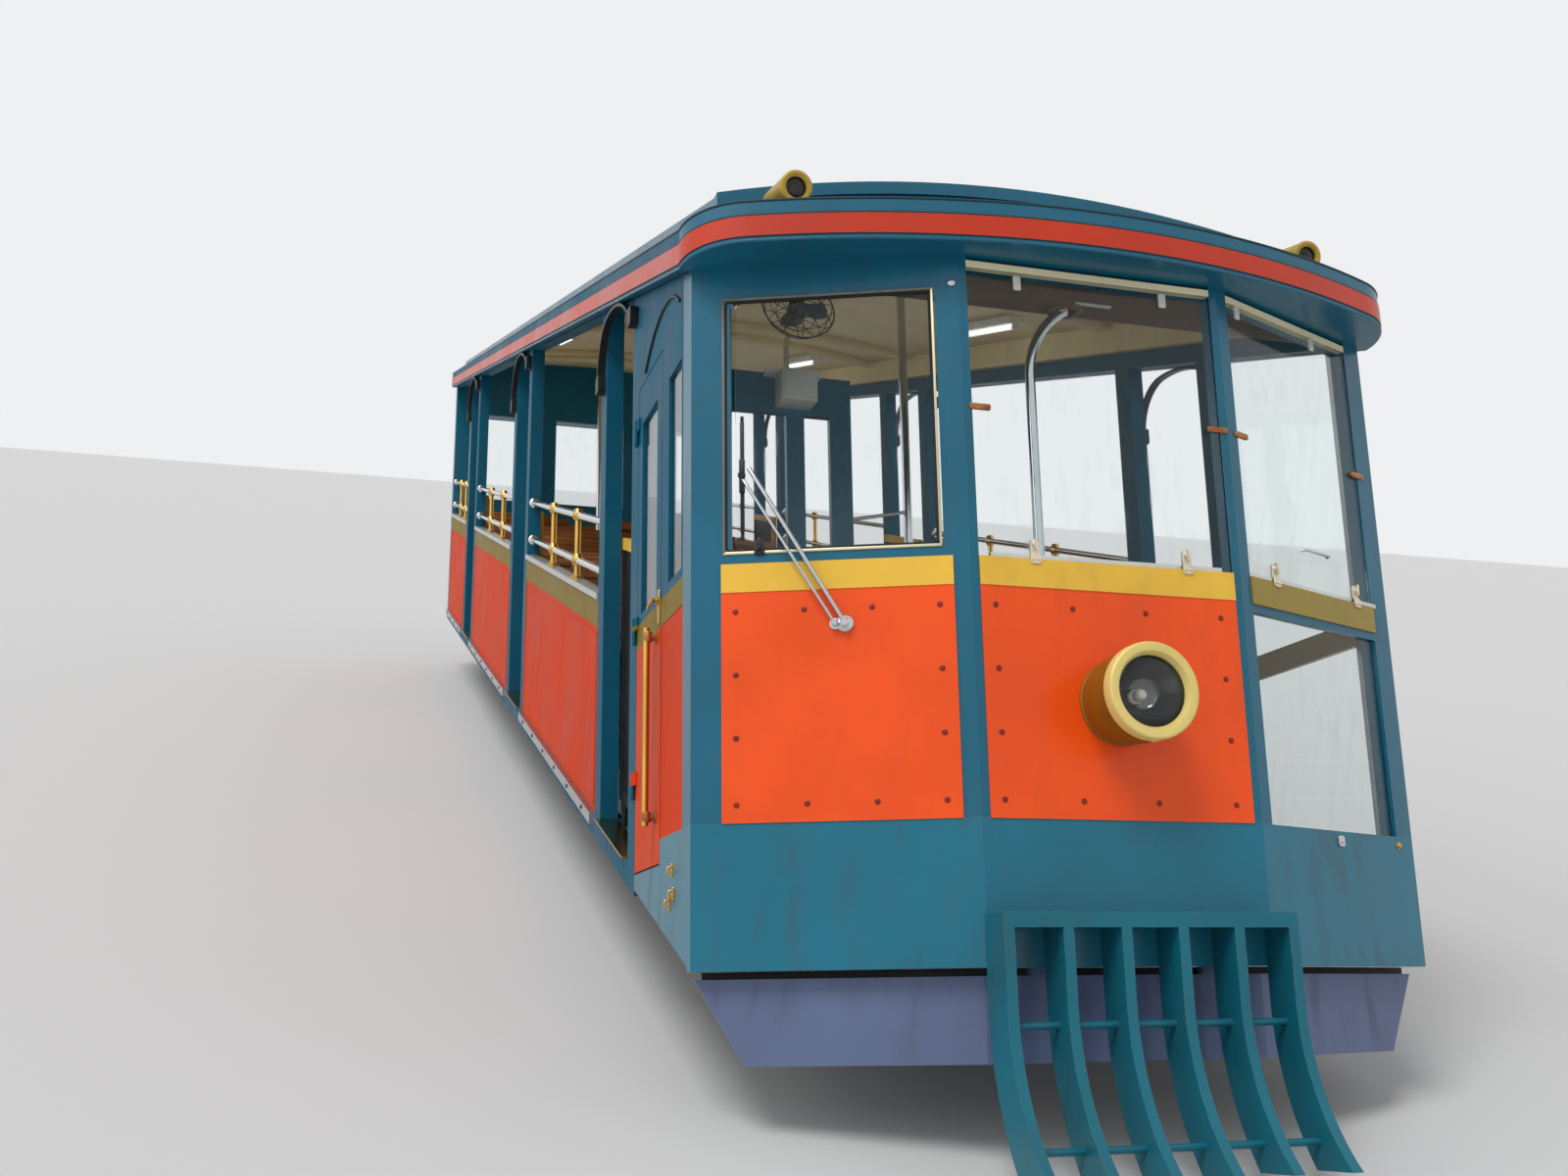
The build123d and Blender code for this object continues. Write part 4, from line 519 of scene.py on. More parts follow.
class Effect:
    """A shader node group that several finishes share."""

    name: str = "effect"
    inputs: dict[str, float] = {}
    outputs: tuple[str, ...] = ()

    def group(self) -> Tree:
        """Build the group at its first use.

        Returns:
            The group's node tree.
        """
        known = bpy.data.node_groups.get(self.name)
        if known:
            return known
        tree = bpy.data.node_groups.new(self.name, "ShaderNodeTree")
        for label, value in self.inputs.items():
            socket = tree.interface.new_socket(label, in_out="INPUT", socket_type="NodeSocketFloat")
            socket.default_value = value
        for label in self.outputs:
            tree.interface.new_socket(label, in_out="OUTPUT", socket_type="NodeSocketFloat")
        self.wire(tree, tree.nodes.new("NodeGroupInput"), tree.nodes.new("NodeGroupOutput"))
        return tree

    def wire(self, tree: Tree, start: Node, end: Node) -> None:
        """Add the group's nodes between its input and output nodes."""
        raise NotImplementedError

    def place(self, tree: Tree, **values: float) -> Node:
        """Put the group into a material with its own values.

        Args:
            tree: node tree that takes the nodes.
            **values: value of each of the group's inputs.

        Returns:
            The group's node.
        """
        node = tree.nodes.new("ShaderNodeGroup")
        node.node_tree = self.group()
        return set_inputs(node, values)

    @staticmethod
    def math(tree: Tree, operation: str, first: object, second: object = None, clamp: bool = False) -> Socket:
        """Add a math node fed by sockets or numbers.

        Args:
            tree: node tree that takes the nodes.
            operation: name of the operation.
            first: first socket or number.
            second: second socket or number, if it has one.
            clamp: True to keep the result from 0 to 1.

        Returns:
            The result.
        """
        node = tree.nodes.new("ShaderNodeMath")
        node.operation = operation
        node.use_clamp = clamp
        for socket, value in zip(node.inputs, (first, second)):
            if isinstance(value, (int, float)):
                socket.default_value = value
            elif value is not None:
                tree.links.new(value, socket)
        return node.outputs[0]

    @staticmethod
    def spread(tree: Tree, value: object, low: float, high: float, to_low: float = 0.0,
               to_high: float = 1.0) -> Socket:
        """Map a range of values onto another, smoothly and clamped.

        Args:
            tree: node tree that takes the nodes.
            value: the socket with the values.
            low: start of their range.
            high: end of their range.
            to_low: start of the new range.
            to_high: end of the new range.

        Returns:
            The mapped value.
        """
        node = tree.nodes.new("ShaderNodeMapRange")
        node.interpolation_type = "SMOOTHSTEP"
        tree.links.new(value, node.inputs["Value"])
        set_inputs(node, {"From Min": low, "From Max": high, "To Min": to_low, "To Max": to_high})
        return node.outputs["Result"]

    @staticmethod
    def noise(tree: Tree, scale: object, detail: float = 4, stretch: Point = (1, 1, 1), turn: float = 0.0) -> Socket:
        """Add noise on the piece's own coordinates, stretched along the leaning body's axes.

        Args:
            tree: node tree that takes the nodes.
            scale: socket or number for the fineness.
            detail: number of finer layers.
            stretch: scale along each axis.
            turn: turn about X, in radians.

        Returns:
            The noise, from 0 to 1.
        """
        place = Effect.mapped(tree, {"Rotation": (turn, 0, 0), "Scale": stretch})
        texture = set_inputs(tree.nodes.new("ShaderNodeTexNoise"), {"Detail": detail})
        tree.links.new(place, texture.inputs["Vector"])
        if isinstance(scale, (int, float)):
            set_inputs(texture, {"Scale": scale})
        else:
            tree.links.new(scale, texture.inputs["Scale"])
        return texture.outputs["Fac"]

    @staticmethod
    def mapped(tree: Tree, values: dict[str, object]) -> Socket:
        """Add the piece's own coordinates, moved, turned or stretched by a mapping node.

        Args:
            tree: node tree that takes the nodes.
            values: inputs of the mapping node by their label.

        Returns:
            The mapped place.
        """
        coordinates = tree.nodes.new("ShaderNodeTexCoord")
        mapping = set_inputs(tree.nodes.new("ShaderNodeMapping"), values)
        tree.links.new(coordinates.outputs["Object"], mapping.inputs["Vector"])
        return mapping.outputs["Vector"]

    @staticmethod
    def split(tree: Tree, place: Socket) -> bpy.types.bpy_prop_collection:
        """Split a place into its X, Y and Z.

        Args:
            tree: node tree that takes the nodes.
            place: socket with the place.

        Returns:
            The three sockets, by axis.
        """
        parts = tree.nodes.new("ShaderNodeSeparateXYZ")
        tree.links.new(place, parts.inputs[0])
        return parts.outputs


class EdgeWear(Effect):
    """Mask of rubbed edges, broken up by noise."""

    name = "edge wear"
    inputs = {"Radius": 0.003, "Amount": 0.5, "Breakup": 14.0}
    outputs = ("Mask",)

    def wire(self, tree: Tree, start: Node, end: Node) -> None:
        """Compare the rounded normal with the true one.

        Args:
            tree: node tree that takes the nodes.
            start: the group's input node.
            end: the group's output node.
        """
        rounded = tree.nodes.new("ShaderNodeBevel")
        rounded.samples = 3
        tree.links.new(start.outputs["Radius"], rounded.inputs["Radius"])
        geometry = tree.nodes.new("ShaderNodeNewGeometry")
        likeness = tree.nodes.new("ShaderNodeVectorMath")
        likeness.operation = "DOT_PRODUCT"
        tree.links.new(rounded.outputs["Normal"], likeness.inputs[0])
        tree.links.new(geometry.outputs["Normal"], likeness.inputs[1])
        edge = self.math(tree, "SUBTRACT", 1.0, likeness.outputs["Value"])
        edge = self.spread(tree, edge, 0.02, 0.16)
        broken = self.spread(tree, self.noise(tree, start.outputs["Breakup"], 6), 0.42, 0.62)
        worn = self.math(tree, "MULTIPLY", edge, broken)
        tree.links.new(self.math(tree, "MULTIPLY", worn, start.outputs["Amount"], True), end.inputs["Mask"])


class Grime(Effect):
    """Mask of rain streaks and dull patches that run down the posts' direction."""

    name = "rain grime"
    inputs = {"Scale": 3.0, "Amount": 0.5}
    outputs = ("Mask",)

    def wire(self, tree: Tree, start: Node, end: Node) -> None:
        """Multiply long streaks by broad patches.

        Args:
            tree: node tree that takes the nodes.
            start: the group's input node.
            end: the group's output node.
        """
        streaks = self.noise(tree, start.outputs["Scale"], 5, (5, 5, 0.35), LEAN)
        patches = self.noise(tree, start.outputs["Scale"], 3, (0.5, 0.5, 0.5))
        streaks = self.spread(tree, streaks, 0.45, 0.72)
        patches = self.spread(tree, patches, 0.35, 0.65)
        both = self.math(tree, "MULTIPLY", streaks, patches)
        tree.links.new(self.math(tree, "MULTIPLY", both, start.outputs["Amount"], True), end.inputs["Mask"])


class Ripple(Effect):
    """Fine height and shade of a rolled, sprayed or cast surface."""

    name = "surface ripple"
    inputs = {"Scale": 220.0, "Depth": 0.4}
    outputs = ("Height", "Shade")

    def wire(self, tree: Tree, start: Node, end: Node) -> None:
        """Mix fine grain with a broad tone.

        Args:
            tree: node tree that takes the nodes.
            start: the group's input node.
            end: the group's output node.
        """
        fine = self.noise(tree, start.outputs["Scale"], 2)
        tree.links.new(self.math(tree, "MULTIPLY", fine, start.outputs["Depth"]), end.inputs["Height"])
        tree.links.new(self.noise(tree, 2.6, 4), end.inputs["Shade"])


class Brushed(Effect):
    """Fine scratches along the car, for bright metal."""

    name = "brushed lines"
    inputs = {"Scale": 60.0}
    outputs = ("Height", "Shade")

    def wire(self, tree: Tree, start: Node, end: Node) -> None:
        """Stretch noise along the track.

        Args:
            tree: node tree that takes the nodes.
            start: the group's input node.
            end: the group's output node.
        """
        lines = self.noise(tree, start.outputs["Scale"], 3, (8, 0.25, 8))
        tree.links.new(lines, end.inputs["Height"])
        tree.links.new(self.spread(tree, lines, 0.3, 0.7), end.inputs["Shade"])


class Grain(Effect):
    """Wood grain along the car's width."""

    name = "wood grain"
    inputs = {"Scale": 9.0}
    outputs = ("Height", "Shade")

    def wire(self, tree: Tree, start: Node, end: Node) -> None:
        """Stretch noise across the car and add fine pores.

        Args:
            tree: node tree that takes the nodes.
            start: the group's input node.
            end: the group's output node.
        """
        bands = self.noise(tree, start.outputs["Scale"], 8, (0.25, 6, 6))
        pores = self.noise(tree, 90, 4, (0.06, 2.5, 2.5))
        tree.links.new(self.spread(tree, bands, 0.3, 0.7), end.inputs["Shade"])
        tree.links.new(self.math(tree, "ADD", bands, pores), end.inputs["Height"])


# ---------------------------------------------------------------- finishes


@dataclass(frozen=True)
class Surface:
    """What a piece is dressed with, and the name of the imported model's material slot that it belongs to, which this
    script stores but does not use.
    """

    name: str
    slot: str

    def material(self) -> bpy.types.Material:
        """Build the surface's material at its first use.

        Returns:
            The material.
        """
        name = f"finish_{self.name}"
        known = bpy.data.materials.get(name)
        if known:
            return known
        material, shader = new_material(name)
        self.dress(material, shader)
        return material

    def dress(self, material: bpy.types.Material, shader: Node) -> None:
        """Wire the surface into its material's shader."""
        raise NotImplementedError


@dataclass(frozen=True)
class Finish(Surface):
    """A surface finish with procedural wear, dirt and grain."""

    colour: Rgb
    rough: float = 0.4
    metallic: float = 0.0
    coat: float = 0.0
    wear: float = 0.0
    wear_radius: float = 0.003
    bare: Rgb = srgb(120, 118, 112)
    dirt: float = 0.25
    dirt_colour: Rgb = srgb(70, 62, 50)
    grain: float = 0.02
    grain_scale: float = 220.0
    tone: float = 0.08
    texture: type[Effect] = Ripple
    gloss: float = 0.35
    glow: float = 0.0

    def colours(self, tree: Tree) -> Socket:
        """Give the clean colour, before tone, wear and dirt.

        Args:
            tree: node tree that takes the nodes.

        Returns:
            Socket of the colour.
        """
        node = tree.nodes.new("ShaderNodeRGB")
        node.outputs[0].default_value = (*self.colour, 1)
        return node.outputs[0]

    @staticmethod
    def mix(tree: Tree, share: object, under: object, over: object, blend: str = "MIX") -> Socket:
        """Mix two colours, each a socket or a colour, by a share that is a socket or a number.

        Args:
            tree: node tree that takes the nodes.
            share: share of the colour over.
            under: colour under.
            over: colour over.
            blend: way of mixing.

        Returns:
            Socket of the mixed colour.
        """
        node = tree.nodes.new("ShaderNodeMix")
        node.data_type = "RGBA"
        node.blend_type = blend
        node.clamp_factor = True
        for socket, value in ((node.inputs[0], share), (node.inputs[6], under), (node.inputs[7], over)):
            if isinstance(value, (int, float)):
                socket.default_value = value
            elif isinstance(value, tuple):
                socket.default_value = (*value, 1)
            else:
                tree.links.new(value, socket)
        return node.outputs[2]

    def dress(self, material: bpy.types.Material, shader: Node) -> None:
        """Wire colour, roughness and bump of the finish into its shader.

        Args:
            material: the new material.
            shader: its main shader.
        """
        set_inputs(shader, {"Metallic": self.metallic, "Coat Weight": self.coat, "Coat Roughness": 0.12,
                            "Specular IOR Level": self.gloss, "Emission Color": (*self.colour, 1),
                            "Emission Strength": self.glow})
        material.diffuse_color = (*self.colour, 1)
        tree = material.node_tree
        texture = self.texture().place(tree, Scale=self.grain_scale)
        shade = Effect.spread(tree, texture.outputs["Shade"], 0.25, 0.75, 1 - self.tone, 1 + self.tone)
        tint = tree.nodes.new("ShaderNodeCombineColor")
        for socket in tint.inputs[:3]:
            tree.links.new(shade, socket)
        colour = self.mix(tree, 1.0, self.colours(tree), tint.outputs[0], "MULTIPLY")
        rough = Effect.spread(tree, texture.outputs["Shade"], 0.2, 0.8, self.rough * 0.85, self.rough * 1.15)
        if self.dirt:
            dirt = Grime().place(tree, Amount=self.dirt).outputs["Mask"]
            colour = self.mix(tree, dirt, colour, self.dirt_colour)
            rough = Effect.math(tree, "ADD", rough, Effect.math(tree, "MULTIPLY", dirt, 0.3), True)
        if self.wear:
            worn = EdgeWear().place(tree, Amount=self.wear, Radius=self.wear_radius).outputs["Mask"]
            colour = self.mix(tree, worn, colour, self.bare)
        tree.links.new(colour, shader.inputs["Base Color"])
        tree.links.new(rough, shader.inputs["Roughness"])
        bump = set_inputs(tree.nodes.new("ShaderNodeBump"),
                          {"Strength": min(1.0, self.grain * 10), "Distance": 0.0006})
        tree.links.new(texture.outputs["Height"], bump.inputs["Height"])
        tree.links.new(bump.outputs["Normal"], shader.inputs["Normal"])


@dataclass(frozen=True)
class Banded(Finish):
    """Paint in bands: red below, a belt of olive, and teal above and at the ends."""

    lower: Rgb = srgb(214, 66, 12)
    belt: Rgb = srgb(132, 110, 26)
    belt_foot: float = 1.121
    belt_top: float = 1.211
    lean: float = LEAN
    half_width: float = 10.0

    def colours(self, tree: Tree) -> Socket:
        """Mix the three colours by height in the leaning body or above the track.

        Args:
            tree: node tree that takes the nodes.

        Returns:
            Socket of the colour.
        """
        origin = Matrix.Rotation(self.lean, 4, "X") @ Vector((0, FRONT_Y, SKIRT_Z))
        parts = Effect.split(tree, Effect.mapped(tree, {"Rotation": (self.lean, 0, 0), "Location": -origin}))
        across = Effect.math(tree, "ABSOLUTE", parts["X"])
        inside = Effect.math(tree, "LESS_THAN", across, self.half_width)
        below, lowest = (Effect.math(tree, "MULTIPLY", Effect.math(tree, "LESS_THAN", parts["Z"], top), inside)
                         for top in (self.belt_top, self.belt_foot))
        return self.mix(tree, lowest, self.mix(tree, below, self.colour, self.belt), self.lower)


@dataclass(frozen=True)
class Parted(Finish):
    """Finish whose colour changes at a place across the car or above the track."""

    second: Rgb = srgb(158, 134, 34)
    axis: str = "X"
    edge: float = FOLD_X

    @staticmethod
    def parts(tree: Tree) -> bpy.types.bpy_prop_collection:
        """Split the piece's own coordinates."""
        return Effect.split(tree, tree.nodes.new("ShaderNodeTexCoord").outputs["Object"])

    def colours(self, tree: Tree) -> Socket:
        """Mix the two colours on either side of the edge."""
        beyond = Effect.math(tree, "GREATER_THAN", self.parts(tree)[self.axis], self.edge)
        return self.mix(tree, beyond, self.colour, self.second)


@dataclass(frozen=True)
class GatePaint(Parted):
    """Paint of the gates: a second colour on their top rim and along their leaning front edge."""

    strip: float = 0.044
    first_gate: float = 1.014
    slack: float = 0.001

    def colours(self, tree: Tree) -> Socket:
        """Mix the colours by height and by the distance from the nearest gate's front edge.

        Args:
            tree: node tree that takes the nodes.

        Returns:
            Socket of the colour.
        """
        parts = self.parts(tree)
        above = Effect.math(tree, "GREATER_THAN", parts["Z"], self.edge)
        foot = Effect.math(tree, "SUBTRACT", parts["Y"], Effect.math(tree, "MULTIPLY", parts["Z"], SLOPE))
        first = FRONT_Y + self.first_gate - SKIRT_Z * SLOPE
        along = Effect.math(tree, "MODULO", Effect.math(tree, "SUBTRACT", foot, first - self.slack), MODULE)
        front = Effect.math(tree, "LESS_THAN", along, self.strip)
        return self.mix(tree, Effect.math(tree, "MAXIMUM", above, front), self.colour, self.second)


@dataclass(frozen=True)
class Clear(Surface):
    """Clear sheet or cast glass."""

    slot: str = "glass"
    colour: Rgb = (0.93, 0.97, 0.97)
    rough: float = 0.02
    index: float = 1.25

    def dress(self, material: bpy.types.Material, shader: Node) -> None:
        """Make the shader clear, with a slight smear.

        Args:
            material: the new material.
            shader: its main shader.
        """
        set_inputs(shader, {"Transmission Weight": 1.0, "IOR": self.index})
        tree = material.node_tree
        smear = Grime().place(tree, Scale=5.0, Amount=1.0).outputs["Mask"]
        rough = Effect.spread(tree, smear, 0.0, 1.0, self.rough, self.rough + 0.05)
        colour = Finish.mix(tree, smear, self.colour, tuple(0.94 * part for part in self.colour))
        tree.links.new(rough, shader.inputs["Roughness"])
        tree.links.new(colour, shader.inputs["Base Color"])


TEAL = Finish("teal_paint", "teal_paint", srgb(14, 100, 126), 0.3, coat=0.12, wear=0.35, dirt=0.22)
SIDE_TEAL = Finish("side_teal_paint", "teal_paint", srgb(12, 88, 114), 0.5, gloss=0.14, wear=0.35, dirt=0.22)
VISOR_TEAL = Finish("visor_paint", "teal_paint", srgb(18, 98, 124), 0.32, coat=0.12, wear=0.4, dirt=0.2)
# Dark teal of the visor's beads: painted shadow that stands for the shadow gaps and the groove along the stripe and the
# fascia's top.
SHADOW_LINE_TEAL = Finish("shadow_line_paint", "teal_paint", srgb(14, 52, 60), 0.5, dirt=0.2)
SKIRT_TEAL = Finish("skirt_paint", "teal_paint", srgb(18, 112, 136), 0.3, coat=0.12, wear=0.5, dirt=0.35)
RED = Finish("red_paint", "red_paint", srgb(250, 84, 14), 0.34, coat=0.1, wear=0.3, dirt=0.1)
SIDE_RED = Finish("side_red_paint", "red_paint", srgb(210, 62, 12), 0.55, gloss=0.1, wear=0.3, dirt=0.15)
STRIPE = Finish("stripe_paint", "stripe_paint", srgb(200, 52, 18), 0.36, coat=0.08, wear=0.3, dirt=0.12)
# The belt band is yellow on the left and centre facets and takes the olive second colour on the right facet, beyond the
# fold.
YELLOW = Parted("yellow_paint", "yellow_paint", srgb(240, 192, 66), 0.3, coat=0.12, wear=0.25, dirt=0.12)
GATE_PAINT = GatePaint("gate_paint", "black_paint", srgb(24, 24, 26), 0.4, wear=0.4, dirt=0.2, axis="Z",
                       edge=SKIRT_Z + 1.104, second=srgb(236, 186, 60))
OLIVE = Finish("olive_paint", "olive_paint", srgb(132, 110, 26), 0.5, gloss=0.14, wear=0.3, dirt=0.2)
VALANCE_GREY = Finish("grey_paint", "grey_paint", srgb(98, 112, 146), 0.46, wear=0.5, dirt=0.45)
CATCHER = Finish("catcher_paint", "teal_paint", srgb(14, 106, 124), 0.4, coat=0.05, wear=0.7,
                 wear_radius=0.004, dirt=0.4)
BLACK = Finish("black_paint", "black_paint", srgb(24, 24, 26), 0.4, wear=0.4, dirt=0.2)
FRAME_STEEL = Finish("dark_steel", "dark_steel", srgb(52, 50, 48), 0.62, wear=0.5, dirt=0.6, grain=0.05,
                     grain_scale=90)
BRIGHT_STEEL = Finish("bright_steel", "bright_steel", srgb(190, 192, 194), 0.3, 1.0, dirt=0.25,
                      texture=Brushed, grain_scale=60)
CHROME = Finish("chrome", "chrome", srgb(205, 206, 208), 0.12, 1.0, dirt=0.05, grain=0.004)
ALUMINIUM = Finish("aluminium", "aluminium", srgb(205, 206, 200), 0.34, 1.0, dirt=0.15, texture=Brushed,
                   grain_scale=60)
CREAM = Finish("cream_rail", "aluminium", srgb(252, 240, 200), 0.4, dirt=0.1)
CLAMP_METAL = Finish("clamp_metal", "aluminium", srgb(224, 212, 188), 0.3, 0.7, wear=0.5, dirt=0.3)
TRIM_METAL = Finish("trim_metal", "aluminium", srgb(206, 196, 164), 0.34, 0.5, wear=0.4, dirt=0.3)
# Darker copy of the window trim for its top and left bars: painted shade and dark reflection on the same metal.
SHADED_TRIM = Finish("shaded_trim", "aluminium", srgb(112, 112, 106), 0.45, 0.4, wear=0.3, dirt=0.4)
BRASS = Finish("brass", "brass", srgb(205, 160, 78), 0.2, 1.0, dirt=0.2, grain=0.006)
RUSTY_BRASS = Finish("rusty_brass", "brass", srgb(176, 118, 66), 0.38, 0.8, wear=0.8, dirt=0.7,
                     dirt_colour=srgb(110, 52, 28))
GOLD_LAMP = Finish("gold_lamp", "gold_lamp", srgb(140, 94, 12), 0.46, 0.2, wear=0.4, dirt=0.3)
LAMP_BOWL = Finish("lamp_bowl", "chrome", srgb(96, 102, 110), 0.1, 1.0, dirt=0.1, grain=0.004)
ROOF_GOLD = Finish("roof_gold", "gold_lamp", srgb(196, 160, 66), 0.46, 0.1, wear=0.4, dirt=0.25)
ROOF_BOWL = Finish("roof_bowl", "black_paint", srgb(26, 22, 26), 0.5, dirt=0.1)
GOLD_RING = Finish("gold_ring", "gold_lamp", srgb(236, 214, 128), 0.44, 0.1, wear=0.3, dirt=0.15)
CEILING = Finish("ceiling_board", "ceiling_board", srgb(226, 208, 158), 0.6, dirt=0.1, grain=0.03)
# Brown copy of the ceiling board for the soffit under the visor: painted shade on the cream board.
SHADED_BOARD = Finish("shaded_board", "ceiling_board", srgb(112, 88, 70), 0.6, dirt=0.1, grain=0.03)
WOOD = Finish("varnished_wood", "varnished_wood", srgb(142, 84, 40), 0.38, coat=0.3, dirt=0.1, texture=Grain,
              grain_scale=9, grain=0.03, tone=0.3)
BENCH_IRON = Finish("bench_iron", "dark_steel", srgb(40, 44, 46), 0.45, wear=0.5, dirt=0.2)
FLOOR_SHEET = Finish("floor_sheet", "floor_sheet", srgb(84, 74, 62), 0.7, dirt=0.5, grain=0.08, grain_scale=160)
RUBBER = Finish("rubber", "rubber", srgb(20, 20, 20), 0.6, dirt=0.1, grain=0.04)
WHEEL_STEEL = Finish("wheel_steel", "wheel_steel", srgb(92, 84, 76), 0.5, 0.7, wear=0.5, dirt=0.5, grain=0.05,
                     grain_scale=80)
DESK = Finish("desk_paint", "grey_paint", srgb(86, 96, 100), 0.5, wear=0.3, dirt=0.1)
SCREW_RED = Finish("screw_paint", "red_paint", srgb(136, 34, 12), 0.42, dirt=0.5, dirt_colour=srgb(60, 26, 16))
RED_LENS = Finish("red_lens", "lens", srgb(196, 20, 16), 0.12, coat=0.8, dirt=0.05, grain=0.0)
WHITE_PLASTIC = Finish("white_plastic", "grey_paint", srgb(222, 222, 214), 0.4, dirt=0.12, grain=0.01)
LIT_TUBE = Finish("lit_tube", "lens", srgb(244, 250, 244), 0.3, dirt=0.05, glow=1.0)
DOOR_PAINT = Banded("door_paint", "teal_paint", srgb(12, 88, 114), 0.5, gloss=0.14, wear=0.35, dirt=0.22)
REAR_PAINT = Banded("rear_paint", "teal_paint", srgb(14, 100, 126), 0.3, coat=0.12, wear=0.35, dirt=0.25,
                    belt_foot=0.78, belt_top=0.89, lean=0.0, half_width=1.18)
GLASS = Clear("clear_sheet")
LENS_GLASS = Clear("lens_glass", "lens", (0.97, 0.96, 0.9), 0.03, 1.3)


NODE_FINISHES: dict[object, tuple[str, ...]] = {
    TEAL: ("front_posts", "front_header", "cab_window_frame", "cab_partition", "roof_shell", "roof_rails"),
    SIDE_TEAL: ("sole_bars", "eaves", "cantrails", "side_posts", "cab_sides"),
    VISOR_TEAL: ("visor", "visor_cap"),
    SKIRT_TEAL: ("front_skirt", "side_skirts"),
    RED: ("front_panels",),
    SIDE_RED: ("side_panels",),
    STRIPE: ("roof_stripe",),
    YELLOW: ("belt_band",),
    OLIVE: ("side_bands",),
    VALANCE_GREY: ("valance",),
    CATCHER: ("cowcatcher",),
    BLACK: ("door_straps",),
    GATE_PAINT: tuple(f"gate_{side}_{number}" for side in ("left", "right") for number in (1, 2, 3)),
    FRAME_STEEL: ("underframe", "cross_bearers", "axle_guards", "axle_boxes", "springs", "tow_bar"),
    BRIGHT_STEEL: ("step_strips",),
    CHROME: ("handrails", "grab_poles"),
    ALUMINIUM: ("cab_window_trim", "sill_caps"),
    CREAM: ("sheet_rails",),
    BRASS: ("rail_posts", "cab_door_rail", "door_treads"),
    GOLD_LAMP: ("headlamp",),
    ROOF_GOLD: ("roof_lamps",),
    CEILING: ("ceiling",),
    WOOD: ("benches",),
    FLOOR_SHEET: ("floor", "risers"),
    RUBBER: ("wiper",),
    WHEEL_STEEL: ("wheelset_front", "wheelset_rear"),
    DESK: ("driver_desk",),
    DOOR_PAINT: ("cab_door",),
    REAR_PAINT: ("rear_wall",),
    GLASS: ("front_windows", "side_windows", "cab_door_glass"),
    LENS_GLASS: ("headlamp_lens",),
}


def dress(obj: Piece, finish: Surface) -> Piece:
    """Give every material slot of an object one finish.

    Args:
        obj: the object.
        finish: the finish.

    Returns:
        The same object.
    """
    material = finish.material()
    if not obj.material_slots:
        obj.data.materials.append(material)
    for slot in obj.material_slots:
        slot.material = material
    return obj


def finish_nodes(nodes: dict[str, Piece]) -> None:
    """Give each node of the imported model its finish.

    Args:
        nodes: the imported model's objects by name.
    """
    for finish, names in NODE_FINISHES.items():
        for name in names:
            if name in nodes:
                dress(nodes[name], finish)
            else:
                LOG.warning("no node %s", name)


# ---------------------------------------------------------------- sub-assemblies


@dataclass
class SubAssembly:
    """A group of pieces that are built together and ride on one body."""

    body: str = CAR_BODY

    def build(self) -> None:
        """Model and dress the pieces."""
        raise NotImplementedError

    def keep(self, piece: Piece, finish: Surface, *replaced: str, body: str = "") -> Piece:
        """Dress a finished piece and say what carries it.

        Args:
            piece: the finished piece, in the shared frame.
            finish: its finish.
            replaced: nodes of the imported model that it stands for.
            body: the body that it rides on, if not the sub-assembly's own.

        Returns:
            The same piece.
        """
        dress(piece, finish)
        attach(piece, body or self.body)
        if replaced:
            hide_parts(*replaced)
        LOG.info("%s rides on %s in %s, %d faces", piece.name, body or self.body, finish.name,
                 len(piece.data.polygons))
        return piece


    def fit(self, name: str, parts: Sequence[Piece], place: Matrix, finish: Surface, *replaced: str,
            body: str = "") -> Piece:
        """Join parts to one piece, lay it into the shared frame and keep it."""
        return self.keep(Shop.lay(Shop.join(name, parts), place), finish, *replaced, body=body)


def screw(radius: float, height: float, steps: int = 14) -> Piece:
    """Model a domed screw head that stands on the working frame's face."""
    return Shop.turned("screw", [(0, -0.001), (radius, -0.001), (radius, height * 0.3), (radius * 0.86, height * 0.7),
                                 (radius * 0.5, height * 0.95), (0, height)], steps)


def bolt(radius: float, height: float) -> Piece:
    """Model a hexagon bolt head with a washer that stands on the working frame's face.

    Args:
        radius: radius of the head over its corners.
        height: height of the head above the face.

    Returns:
        The bolt head.
    """
    head = Shop.plate("bolt", circle(radius, 6), height * 0.25, height, height * 0.2)
    washer = Shop.turned("washer", [(0, -0.001), (radius * 1.35, -0.001), (radius * 1.35, height * 0.2),
                                    (radius * 1.2, height * 0.3), (0, height * 0.3)], 14)
    return Shop.join("bolt", [head, washer])


def circle(radius: float, count: int) -> list[Pair]:
    """Points evenly round a circle, from the working frame's X on."""
    angles = [math.radians(360 / count * i) for i in range(count)]
    return [(radius * math.cos(angle), radius * math.sin(angle)) for angle in angles]


def crown(x: float, half: float, rise: float) -> float:
    """Height of a crowned arc above its edge."""
    radius = (half**2 + rise**2) / (2 * rise)
    return math.sqrt(radius**2 - x**2) - (radius - rise)


def across(half: float, steps: int) -> list[float]:
    """Places at even steps across the car, from its left to its right."""
    return [-half + 2 * half * i / steps for i in range(steps + 1)]


def rounded(low: Pair, high: Pair, radius: float, steps: int = 5) -> list[Pair]:
    """Corners of a rectangle with rounded corners, in order.

    Args:
        low: lowest corner.
        high: highest corner.
        radius: radius of the corners.
        steps: steps round each corner.

    Returns:
        The points.
    """
    points = []
    for (x, y), start in (((high[0] - radius, high[1] - radius), 0), ((low[0] + radius, high[1] - radius), 90),
                          ((low[0] + radius, low[1] + radius), 180), ((high[0] - radius, low[1] + radius), 270)):
        for step in range(steps + 1):
            angle = math.radians(start + 90 * step / steps)
            points.append((x + radius * math.cos(angle), y + radius * math.sin(angle)))
    return points


